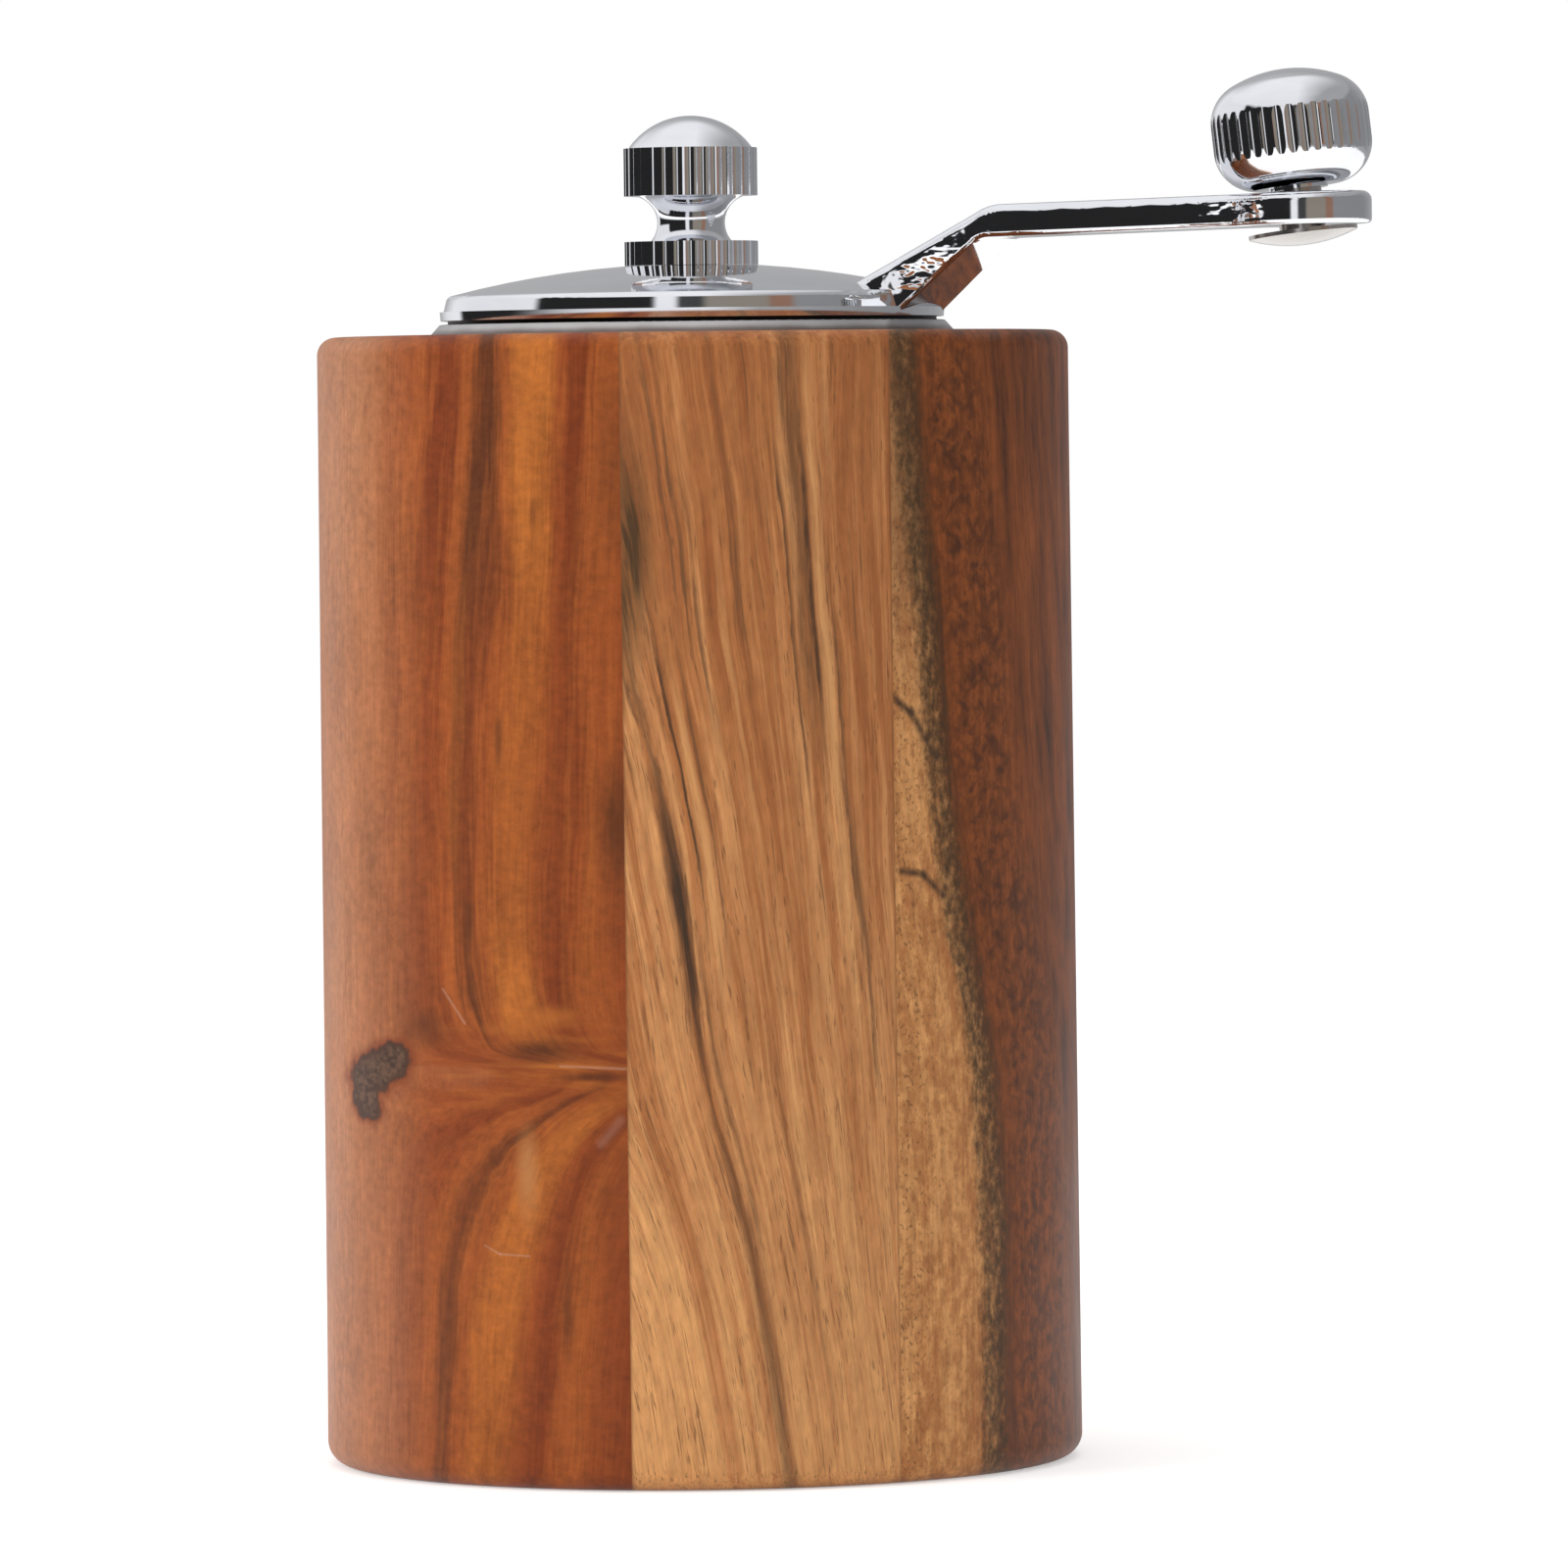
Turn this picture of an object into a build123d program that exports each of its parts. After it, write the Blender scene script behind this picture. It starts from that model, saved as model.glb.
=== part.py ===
"""Hand-cranked burr coffee grinder: a round wooden body with a crank lid and a conical burr below.

Millimetres, +Z up. The origin is on the mill's axis, in the plane that the wooden body stands on.
The crank arm points along +X.
"""

import math
import os

from build123d import *

# Clearances
RUNNING_CLEARANCE = 0.06  # radial, between turning pieces
SEAT_CLEARANCE = 0.05  # axial, between pieces that bear on each other
FIT_CLEARANCE = 0.05  # radial, between fixed pieces
SQUARE_CLEARANCE = 0.08  # per side, between the square shaft and its sockets

# Wooden body, glued up from three boards
BODY_DIAMETER = 66.0  # at the top
BODY_TAPER = 0.5  # added to the diameter at the base
BODY_HEIGHT = 99.0
BODY_TOP_ROUND = 1.6
BODY_BASE_ROUND = 2.0
BOARD_ANGLE = 21.0  # degrees from the crank's plane to the boards' width
LEFT_SEAM = -6.3  # glue lines, measured across the boards from the axis
RIGHT_SEAM = 16.8
HOPPER_DIAMETER = 38.0
CARRIER_BORE_DIAMETER = 46.0
CARRIER_HEIGHT = 28.0
RECESS_DIAMETER = 57.0
RECESS_DEPTH = 9.0

# Collar on the body's top
COLLAR_BASE_DIAMETER = 46.2
COLLAR_TOP_DIAMETER = 44.4
COLLAR_THICKNESS = 1.0
COLLAR_EDGE_ROUND = 0.25
COLLAR_SLEEVE_DEPTH = 8.0
COLLAR_WALL = 1.2

# Lid
LID_LIP_DIAMETER = 44.4
LID_LIP_GAP = 0.32
LID_LIP_HEIGHT = 0.78
LID_LIP_UNDERCUT = 0.08
LID_BAND_FOOT_INSET = 0.34
LID_BAND_INSET = 0.68
LID_HEIGHT = 4.95  # from the collar's top to the nut's seat
LID_CROWN_RADIUS = 86.0
LID_WALL = 1.8
LID_RIM_ROUND = 0.65
LID_LAND_WIDTH = 3.8
LID_SPIGOT_DEPTH = 4.0
LID_SPIGOT_WALL = 1.5
LID_HUB_DIAMETER = 12.0
LID_HUB_DEPTH = 3.0

# Crank arm and the boss at its end
CRANK_RADIUS = 56.25
ARM_SETBACK = 4.6  # from the lid's lip in to the arm's top line
ARM_FOOT_INSET = 1.0  # from the lid's lip in to the arm's underside
ARM_FOOT_RISE = 0.15  # from the lip's underside up to the arm's
ARM_BEND_RADIUS = 29.3  # from the axis to the bend in the top
ARM_UNDER_BEND_SHIFT = 0.8
ARM_RISE_ANGLE = 1.3  # degrees, along the outer stretch
ARM_LIFT = 5.45  # from the nut's seat up to the boss's top
ARM_THICKNESS = 2.8
ARM_ROOT_WIDTH = 12.4
ARM_BEND_WIDTH = 9.7
ARM_TIP_WIDTH = 8.8
ARM_TOP_BEND_ROUND = 4.0
ARM_UNDER_BEND_ROUND = 2.0
ARM_TOP_EDGE_ROUND = 0.8
ARM_UNDER_EDGE_ROUND = 0.4
BOSS_DIAMETER = 12.3
BOSS_BLEND_RADIUS = 2.5
FLANK_NORMAL = 0.3  # faces whose normals rise less than this are the arm's flanks

# Knob and its pin, leaning towards the axis
KNOB_TILT = 6.5
KNOB_DIAMETER = 13.7
KNOB_SHOULDER_RADIUS = 3.77
KNOB_SHOULDER_ANGLE = 65.0
KNOB_BAND_HEIGHT = 2.2
KNOB_UNDER_RADIUS = 3.63
KNOB_UNDER_ANGLE = 78.8
KNOB_NECK_DIAMETER = 5.2
KNOB_NECK_HEIGHT = 0.25
KNOB_FLUTES = 40
KNOB_FLUTE_DEPTH = 0.16
KNOB_FLUTE_LENGTH = 4.2
KNOB_FLUTE_SHARE = 0.92  # of the spacing, as wide as a flute is at the surface
PIN_DIAMETER = 4.0
PIN_THREAD_DIAMETER = 3.0
PIN_THREAD_LENGTH = 5.5
PIN_HEAD_DIAMETER = 9.4
PIN_HEAD_RIM = 0.35
PIN_HEAD_DOME = 0.9

# Adjusting nut
NUT_DIAMETER = 11.75
NUT_FLANGE_HEIGHT = 2.1
NUT_WAIST_HEIGHT = 4.0
NUT_WAIST_DIAMETER = 6.0
NUT_WAIST_FOOT_DIAMETER = 7.2
NUT_WAIST_HEAD_DIAMETER = 9.6
NUT_BAND_HEIGHT = 4.2
NUT_DOME_DIAMETER = 10.9
NUT_DOME_HEIGHT = 2.85
NUT_BORE_DEPTH = 9.0
NUT_FLUTES = 36
NUT_FLUTE_DEPTH = 0.14
NUT_FLUTE_SHARE = 0.86

# Drive shaft
SHAFT_SIDE = 5.0
SHAFT_EDGE_CHAMFER = 0.4
SHAFT_SHOULDER_DROP = 0.6  # from the nut's seat down to the top of the square
SHAFT_STUD_DIAMETER = 4.0
SHAFT_STUD_LENGTH = 8.0
SHAFT_SCREW_HOLE_DEPTH = 10.0

# Burr carrier
CARRIER_BRIDGE_HEIGHT = 5.0
CARRIER_BRIDGE_WIDTH = 7.0
CARRIER_HUB_DIAMETER = 16.0
CARRIER_THROAT_DIAMETER = 34.0

# Outer burr
OUTER_BURR_DIAMETER = 38.0
OUTER_BURR_HEIGHT = 12.0
OUTER_BURR_MOUTH_DIAMETER = 30.0
OUTER_BURR_WAIST_DIAMETER = 24.0
OUTER_BURR_WAIST_HEIGHT = 6.0
OUTER_BURR_THROAT_DIAMETER = 31.0
OUTER_BURR_TEETH = 36
OUTER_BURR_FEED_FLUTES = 9
BURR_TOOTH_DEPTH = 0.6
BURR_TOOTH_WIDTH = 1.3
BURR_LUGS = 3
BURR_LUG_RADIUS = 1.5
BURR_LUG_HEIGHT = 6.0

# Inner burr
BURR_GAP = 0.3  # between the burrs' cones, square to them
INNER_BURR_LIFT = 0.8  # from the outer burr's foot up to the inner burr's
INNER_BURR_HEIGHT = 12.2
INNER_BURR_TOP_DIAMETER = 12.0
INNER_BURR_TEETH = 30
INNER_BURR_FEED_FLUTES = 6
FEED_FLUTE_DEPTH = 1.6
FEED_FLUTE_WIDTH = 3.2
BURR_WELL_DIAMETER = 10.4
BURR_WELL_DEPTH = 3.4

# Burr screw and its washer
BURR_WASHER_DIAMETER = 9.4
BURR_WASHER_THICKNESS = 0.8
BURR_SCREW_DIAMETER = 4.0
BURR_SCREW_LENGTH = 8.0
BURR_SCREW_HEAD_DIAMETER = 7.0
BURR_SCREW_HEAD_HEIGHT = 2.2
BURR_SCREW_HEAD_ROUND = 0.6
BURR_SCREW_SLOT_WIDTH = 1.0
BURR_SCREW_SLOT_DEPTH = 1.0

# Drive bush, washers and spring
BUSH_DIAMETER = 10.4
BUSH_FLANGE_DIAMETER = 14.0
BUSH_FLANGE_THICKNESS = 1.5
BUSH_STANDOUT = 1.0
THRUST_WASHER_THICKNESS = 0.5
SPRING_SEAT_THICKNESS = 0.6
SPRING_WIRE = 0.9
SPRING_MEAN_DIAMETER = 9.4
SPRING_TURNS = 4
SPRING_GAP_SAMPLES = 360

# Retaining ring and its screws
RING_THICKNESS = 1.6
RING_HOLE_DIAMETER = 34.0
RING_EDGE_CLEARANCE = 0.15
RING_SCREWS = 3
RING_SCREW_CIRCLE = 52.0
RING_SCREW_DIAMETER = 2.5
RING_SCREW_LENGTH = 12.0
RING_SCREW_HEAD_DIAMETER = 4.8
RING_SCREW_HEAD_HEIGHT = 1.3
RING_SCREW_TIP_LENGTH = 1.6
RING_SCREW_TIP_DIAMETER = 0.4
RING_SCREW_SLOT_WIDTH = 0.7
RING_SCREW_SLOT_DEPTH = 0.6

# Levels and radii that follow from the sizes above
hopper_radius = HOPPER_DIAMETER / 2
carrier_bore_radius = CARRIER_BORE_DIAMETER / 2
recess_radius = RECESS_DIAMETER / 2
hopper_floor = RECESS_DEPTH + CARRIER_HEIGHT
bridge_under = hopper_floor - CARRIER_BRIDGE_HEIGHT

collar_top = BODY_HEIGHT + COLLAR_THICKNESS
sleeve_outer_radius = hopper_radius - FIT_CLEARANCE
sleeve_inner_radius = sleeve_outer_radius - COLLAR_WALL

nut_seat = collar_top + LID_HEIGHT
lid_lip_radius = LID_LIP_DIAMETER / 2
lid_lip_bottom = collar_top + LID_LIP_GAP
lid_lip_top = lid_lip_bottom + LID_LIP_HEIGHT
lid_land = collar_top + SEAT_CLEARANCE
spigot_outer_radius = sleeve_inner_radius - RUNNING_CLEARANCE
spigot_inner_radius = spigot_outer_radius - LID_SPIGOT_WALL
hub_radius = LID_HUB_DIAMETER / 2
nut_radius = NUT_DIAMETER / 2
crown_flat_radius = nut_radius + LID_LIP_GAP
crown_centre = nut_seat - math.sqrt(LID_CROWN_RADIUS**2 - crown_flat_radius**2)

burr_waist = RECESS_DEPTH + OUTER_BURR_WAIST_HEIGHT
inner_burr_foot = RECESS_DEPTH + INNER_BURR_LIFT
inner_burr_top = inner_burr_foot + INNER_BURR_HEIGHT
burr_well_roof = inner_burr_foot + BURR_WELL_DEPTH
shaft_foot = burr_well_roof + SEAT_CLEARANCE
shaft_shoulder = nut_seat - SHAFT_SHOULDER_DROP
socket_side = SHAFT_SIDE + 2 * SQUARE_CLEARANCE
shaft_swing_radius = SHAFT_SIDE / math.sqrt(2)

boss_top = nut_seat + ARM_LIFT
boss_middle = boss_top - ARM_THICKNESS / 2


def crown_height(radius, wall):
    """Height of the lid's crown at a radius, on its outside or a wall below it."""
    return crown_centre + math.sqrt((LID_CROWN_RADIUS - wall) ** 2 - radius**2)


def upright_plane(origin, axis):
    """Plane that holds an axis in the crank's plane, with the axis as its own Y."""
    return Plane(origin=origin, x_dir=(axis.Z, 0, -axis.X), z_dir=(0, -1, 0))


def rim_edges(piece, side):
    """Edges between a piece's upper faces (side 1) or lower ones (side -1) and its flanks."""
    facing = piece.faces().filter_by(lambda face: side * face.normal_at().Z > FLANK_NORMAL)
    flanks = piece.faces().filter_by(lambda face: abs(face.normal_at().Z) < FLANK_NORMAL)
    root_face = flanks.sort_by(Axis.X)[0]
    flank_edges = flanks.edges()
    root_edges = root_face.edges()
    return [edge for edge in facing.edges() if edge in flank_edges and edge not in root_edges]


def flute_outlines(radius, count, depth, share):
    """Adds hollow flutes round a circle to the sketch, each a share of their spacing wide at the circle."""
    half_width = share * math.pi * radius / count
    hollow_radius = (half_width**2 + depth**2) / (2 * depth)
    with PolarLocations(radius - depth + hollow_radius, count):
        Circle(hollow_radius)


# Wooden blank, bored through before the boards are told apart
across_boards = Vector(1, 0, 0).rotate(Axis.Z, BOARD_ANGLE)
along_seams = Vector(0, 1, 0).rotate(Axis.Z, BOARD_ANGLE)
left_seam_plane = Plane(origin=across_boards * LEFT_SEAM, z_dir=across_boards)
right_seam_plane = Plane(origin=across_boards * RIGHT_SEAM, z_dir=across_boards)
middle_plane = Plane(origin=(0, 0, 0), z_dir=along_seams)
ring_screw_radius = RING_SCREW_DIAMETER / 2
ring_screw_bottom = RECESS_DEPTH - RING_THICKNESS
ring_screw_start = BOARD_ANGLE + 90

with BuildPart() as blank:
    with BuildSketch(Plane.XZ) as blank_profile:
        with BuildLine():
            Polyline(
                (recess_radius, 0),
                ((BODY_DIAMETER + BODY_TAPER) / 2, 0),
                (BODY_DIAMETER / 2, BODY_HEIGHT),
                (hopper_radius, BODY_HEIGHT),
                (hopper_radius, hopper_floor),
                (carrier_bore_radius, hopper_floor),
                (carrier_bore_radius, RECESS_DEPTH),
                (recess_radius, RECESS_DEPTH),
                close=True,
            )
        make_face()
        top_corner = blank_profile.vertices().group_by(Axis.Y)[-1].sort_by(Axis.X)[-1]
        fillet(top_corner, radius=BODY_TOP_ROUND)
        base_corner = blank_profile.vertices().group_by(Axis.Y)[0].sort_by(Axis.X)[-1]
        fillet(base_corner, radius=BODY_BASE_ROUND)
    revolve(axis=Axis.Z)
    with BuildSketch(Plane.XY.offset(RECESS_DEPTH)):
        with PolarLocations(RING_SCREW_CIRCLE / 2, RING_SCREWS, start_angle=ring_screw_start):
            Circle(ring_screw_radius + FIT_CLEARANCE)
    extrude(amount=RING_SCREW_LENGTH - RING_THICKNESS + SEAT_CLEARANCE, mode=Mode.SUBTRACT)

with BuildPart() as board_left:
    add(blank.part)
    split(bisect_by=left_seam_plane, keep=Keep.BOTTOM)

with BuildPart() as board_right:
    add(blank.part)
    split(bisect_by=right_seam_plane, keep=Keep.TOP)

with BuildPart() as board_front:
    add(blank.part)
    split(bisect_by=left_seam_plane, keep=Keep.TOP)
    split(bisect_by=right_seam_plane, keep=Keep.BOTTOM)
    split(bisect_by=middle_plane, keep=Keep.BOTTOM)

with BuildPart() as board_back:
    add(blank.part)
    split(bisect_by=left_seam_plane, keep=Keep.TOP)
    split(bisect_by=right_seam_plane, keep=Keep.BOTTOM)
    split(bisect_by=middle_plane, keep=Keep.TOP)

# Collar: a tapered ring on the wood and a sleeve down the hopper's mouth
with BuildPart() as top_collar:
    with BuildSketch(Plane.XZ) as collar_profile:
        with BuildLine():
            Polyline(
                (sleeve_inner_radius, BODY_HEIGHT - COLLAR_SLEEVE_DEPTH),
                (sleeve_outer_radius, BODY_HEIGHT - COLLAR_SLEEVE_DEPTH),
                (sleeve_outer_radius, BODY_HEIGHT),
                (COLLAR_BASE_DIAMETER / 2, BODY_HEIGHT),
                (COLLAR_TOP_DIAMETER / 2, collar_top),
                (sleeve_inner_radius, collar_top),
                close=True,
            )
        make_face()
        collar_corner = collar_profile.vertices().group_by(Axis.Y)[-1].sort_by(Axis.X)[-1]
        fillet(collar_corner, radius=COLLAR_EDGE_ROUND)
    revolve(axis=Axis.Z)

# Crank arm: its side view, trimmed to its plan
arm_root = spigot_inner_radius + LID_SPIGOT_WALL / 4
arm_start = lid_lip_radius - ARM_SETBACK
arm_start_height = crown_height(arm_start, 0)
arm_slope = math.tan(math.radians(ARM_RISE_ANGLE))
arm_bend_top = boss_top - (CRANK_RADIUS - ARM_BEND_RADIUS) * arm_slope
ramp_slope = (arm_bend_top - arm_start_height) / (ARM_BEND_RADIUS - arm_start)
arm_tip = CRANK_RADIUS + BOSS_DIAMETER / 2 + BOSS_BLEND_RADIUS
arm_tip_top = boss_top + (arm_tip - CRANK_RADIUS) * arm_slope
arm_foot = lid_lip_radius - ARM_FOOT_INSET
arm_foot_height = lid_lip_bottom + ARM_FOOT_RISE
under_bend = ARM_BEND_RADIUS - ARM_UNDER_BEND_SHIFT
under_bend_height = arm_bend_top - ARM_UNDER_BEND_SHIFT * arm_slope - ARM_THICKNESS

with BuildPart() as crank_arm:
    with BuildSketch(Plane.XZ) as arm_side:
        with BuildLine():
            Polyline(
                (arm_root, arm_start_height - (arm_start - arm_root) * ramp_slope),
                (ARM_BEND_RADIUS, arm_bend_top),
                (arm_tip, arm_tip_top),
                (arm_tip, arm_tip_top - ARM_THICKNESS),
                (under_bend, under_bend_height),
                (arm_foot, arm_foot_height),
                (arm_root, arm_foot_height),
                close=True,
            )
        make_face()
        bends = arm_side.vertices().sort_by_distance((ARM_BEND_RADIUS, arm_bend_top))
        fillet(bends[0], radius=ARM_TOP_BEND_ROUND)
        bends = arm_side.vertices().sort_by_distance((under_bend, under_bend_height))
        fillet(bends[0], radius=ARM_UNDER_BEND_ROUND)
    extrude(amount=ARM_ROOT_WIDTH, both=True)
    with BuildSketch(Plane.XY.offset(collar_top)) as arm_plan:
        with BuildLine():
            near_side = ThreePointArc(
                (arm_root, -ARM_ROOT_WIDTH / 2),
                (ARM_BEND_RADIUS, -ARM_BEND_WIDTH / 2),
                (CRANK_RADIUS, -ARM_TIP_WIDTH / 2),
            )
            far_side = ThreePointArc(
                (arm_root, ARM_ROOT_WIDTH / 2),
                (ARM_BEND_RADIUS, ARM_BEND_WIDTH / 2),
                (CRANK_RADIUS, ARM_TIP_WIDTH / 2),
            )
            Line(near_side @ 0, far_side @ 0)
            Line(near_side @ 1, far_side @ 1)
        make_face()
        with Locations((CRANK_RADIUS, 0)):
            Circle(BOSS_DIAMETER / 2)
        boss_corners = arm_plan.vertices().filter_by_position(
            Axis.X, ARM_BEND_RADIUS, CRANK_RADIUS - BOSS_DIAMETER / 8
        )
        fillet(boss_corners, radius=BOSS_BLEND_RADIUS)
    extrude(amount=boss_top - collar_top + ARM_THICKNESS, mode=Mode.INTERSECT)
    fillet(rim_edges(crank_arm, 1), radius=ARM_TOP_EDGE_ROUND)
    fillet(rim_edges(crank_arm, -1), radius=ARM_UNDER_EDGE_ROUND)

knob_axis = Vector(0, 0, 1).rotate(Axis.Y, -KNOB_TILT)
knob_origin = Vector(CRANK_RADIUS, 0, boss_middle)
knob_plane = Plane(origin=knob_origin, x_dir=(knob_axis.Z, 0, -knob_axis.X), z_dir=knob_axis)
knob_profile_plane = upright_plane(knob_origin, knob_axis)

# Lid, cast in one with the arm
with BuildPart() as lid_and_arm:
    with BuildSketch(Plane.XZ) as lid_profile:
        with BuildLine():
            band_radius = lid_lip_radius - LID_BAND_INSET
            land_edge = spigot_outer_radius + LID_LAND_WIDTH
            hub_roof = (hub_radius, crown_height(hub_radius, LID_WALL))
            spigot_roof = (spigot_inner_radius, crown_height(spigot_inner_radius, LID_WALL))
            crown_edge = (band_radius, crown_height(band_radius, 0))
            crown_flat = (crown_flat_radius, nut_seat)
            under_crown = RadiusArc(spigot_roof, hub_roof, -(LID_CROWN_RADIUS - LID_WALL))
            crown = RadiusArc(crown_edge, crown_flat, -LID_CROWN_RADIUS)
            Polyline(
                hub_roof,
                (hub_radius, collar_top - LID_HUB_DEPTH),
                (0, collar_top - LID_HUB_DEPTH),
                (0, nut_seat),
                crown_flat,
            )
            Polyline(
                spigot_roof,
                (spigot_inner_radius, collar_top - LID_SPIGOT_DEPTH),
                (spigot_outer_radius, collar_top - LID_SPIGOT_DEPTH),
                (spigot_outer_radius, lid_land),
                (land_edge, lid_land),
                (land_edge, lid_lip_bottom),
                (lid_lip_radius - LID_LIP_UNDERCUT, lid_lip_bottom),
                (lid_lip_radius, lid_lip_top),
                (lid_lip_radius - LID_BAND_FOOT_INSET, lid_lip_top),
                crown_edge,
            )
        make_face()
        rim_corner = lid_profile.vertices().sort_by_distance(crown_edge)[0]
        fillet(rim_corner, radius=LID_RIM_ROUND)
    revolve(axis=Axis.Z)
    add(crank_arm.part)
    with BuildSketch(Plane.XY.offset(collar_top - LID_HUB_DEPTH)):
        Rectangle(socket_side, socket_side)
    extrude(amount=LID_HUB_DEPTH + LID_HEIGHT, mode=Mode.SUBTRACT)
    with BuildSketch(knob_plane):
        Circle(PIN_DIAMETER / 2 + RUNNING_CLEARANCE)
    extrude(amount=ARM_THICKNESS, both=True, mode=Mode.SUBTRACT)

# Adjusting nut: flange, waist, fluted band and dome, with a blind threaded bore
nut_foot = nut_seat + SEAT_CLEARANCE
nut_waist_foot = nut_foot + NUT_FLANGE_HEIGHT
nut_waist_head = nut_waist_foot + NUT_WAIST_HEIGHT
nut_band_top = nut_waist_head + NUT_BAND_HEIGHT
nut_top = nut_band_top + NUT_DOME_HEIGHT
stud_radius = SHAFT_STUD_DIAMETER / 2

with BuildPart() as adjusting_nut:
    with BuildSketch(Plane.XZ):
        with BuildLine():
            waist = ThreePointArc(
                (NUT_WAIST_FOOT_DIAMETER / 2, nut_waist_foot),
                (NUT_WAIST_DIAMETER / 2, (nut_waist_foot + nut_waist_head) / 2),
                (NUT_WAIST_HEAD_DIAMETER / 2, nut_waist_head),
            )
            dome = TangentArc(
                (0, nut_top), (NUT_DOME_DIAMETER / 2, nut_band_top), tangent=(1, 0)
            )
            Polyline(waist @ 1, (nut_radius, nut_waist_head), (nut_radius, nut_band_top), dome @ 1)
            Polyline(
                dome @ 0,
                (0, nut_foot),
                (nut_radius, nut_foot),
                (nut_radius, nut_waist_foot),
                waist @ 0,
            )
        make_face()
    revolve(axis=Axis.Z)
    with BuildSketch(Plane.XY.offset(nut_foot)):
        flute_outlines(nut_radius, NUT_FLUTES, NUT_FLUTE_DEPTH, NUT_FLUTE_SHARE)
    extrude(amount=nut_top - nut_foot, mode=Mode.SUBTRACT)
    with BuildSketch(Plane.XY.offset(nut_foot)):
        Circle(stud_radius + RUNNING_CLEARANCE)
    extrude(amount=NUT_BORE_DEPTH, mode=Mode.SUBTRACT)

# Knob: a fluted barrel with a domed top, leaning with its pin
pin_radius = PIN_DIAMETER / 2
pin_thread_radius = PIN_THREAD_DIAMETER / 2
pin_head_radius = PIN_HEAD_DIAMETER / 2
pin_lean = math.radians(KNOB_TILT - ARM_RISE_ANGLE)
boss_half = ARM_THICKNESS / 2 / math.cos(pin_lean)
knob_radius = KNOB_DIAMETER / 2
neck_radius = KNOB_NECK_DIAMETER / 2
knob_foot = boss_half + neck_radius * math.tan(pin_lean) + SEAT_CLEARANCE
neck_top = knob_foot + KNOB_NECK_HEIGHT
band_foot = neck_top + KNOB_UNDER_RADIUS * math.sin(math.radians(KNOB_UNDER_ANGLE))
band_head = band_foot + KNOB_BAND_HEIGHT
shoulder_cosine = math.cos(math.radians(KNOB_SHOULDER_ANGLE))
knob_crown_radius = (knob_radius - KNOB_SHOULDER_RADIUS * (1 - shoulder_cosine)) / shoulder_cosine

with BuildPart() as handle_knob:
    with BuildSketch(knob_profile_plane):
        with BuildLine():
            under = JernArc((knob_radius, band_foot), (0, -1), KNOB_UNDER_RADIUS, -KNOB_UNDER_ANGLE)
            shoulder = JernArc(
                (knob_radius, band_head), (0, 1), KNOB_SHOULDER_RADIUS, KNOB_SHOULDER_ANGLE
            )
            crown = JernArc(shoulder @ 1, shoulder % 1, knob_crown_radius, 90 - KNOB_SHOULDER_ANGLE)
            Line(under @ 0, shoulder @ 0)
            Polyline(
                under @ 1,
                (neck_radius, neck_top),
                (neck_radius, knob_foot),
                (0, knob_foot),
                crown @ 1,
            )
        make_face()
    revolve(axis=Axis(knob_origin, knob_axis))
    with BuildSketch(knob_plane.offset((band_foot + band_head) / 2)):
        flute_outlines(knob_radius, KNOB_FLUTES, KNOB_FLUTE_DEPTH, KNOB_FLUTE_SHARE)
    extrude(amount=KNOB_FLUTE_LENGTH / 2, both=True, mode=Mode.SUBTRACT)
    with BuildSketch(knob_plane.offset(knob_foot)):
        Circle(pin_thread_radius + FIT_CLEARANCE)
    extrude(amount=PIN_THREAD_LENGTH + SEAT_CLEARANCE, mode=Mode.SUBTRACT)

# Pin: a domed head below the boss, a plain shank through it and a thread up into the knob
pin_head_seat = -(boss_half + pin_head_radius * math.tan(pin_lean) + SEAT_CLEARANCE)
pin_head_rim = pin_head_seat - PIN_HEAD_RIM

with BuildPart() as handle_pin:
    with BuildSketch(knob_profile_plane):
        with BuildLine():
            head = TangentArc(
                (0, pin_head_rim - PIN_HEAD_DOME), (pin_head_radius, pin_head_rim), tangent=(1, 0)
            )
            Polyline(
                head @ 1,
                (pin_head_radius, pin_head_seat),
                (pin_radius, pin_head_seat),
                (pin_radius, knob_foot),
                (pin_thread_radius, knob_foot),
                (pin_thread_radius, knob_foot + PIN_THREAD_LENGTH),
                (0, knob_foot + PIN_THREAD_LENGTH),
                head @ 0,
            )
        make_face()
    revolve(axis=Axis(knob_origin, knob_axis))

# Drive shaft: square up to the lid, with a threaded stud for the nut
with BuildPart() as drive_shaft:
    with BuildSketch(Plane.XY.offset(shaft_foot)):
        Rectangle(SHAFT_SIDE, SHAFT_SIDE)
    extrude(amount=shaft_shoulder - shaft_foot)
    chamfer(drive_shaft.faces().sort_by(Axis.Z)[-1].edges(), length=SHAFT_EDGE_CHAMFER)
    with BuildSketch(Plane.XY.offset(shaft_shoulder)):
        Circle(stud_radius)
    extrude(amount=SHAFT_STUD_LENGTH)
    with BuildSketch(Plane.XY.offset(shaft_foot)):
        Circle(BURR_SCREW_DIAMETER / 2 + FIT_CLEARANCE)
    extrude(amount=SHAFT_SCREW_HOLE_DEPTH, mode=Mode.SUBTRACT)

# Drive bush and its thrust washer, below the carrier's hub
bush_radius = BUSH_DIAMETER / 2
bush_flange_radius = BUSH_FLANGE_DIAMETER / 2
bush_bore_radius = bush_radius + RUNNING_CLEARANCE
thrust_washer_top = bridge_under - SEAT_CLEARANCE
bush_flange_top = thrust_washer_top - THRUST_WASHER_THICKNESS - SEAT_CLEARANCE
bush_flange_foot = bush_flange_top - BUSH_FLANGE_THICKNESS

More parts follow.
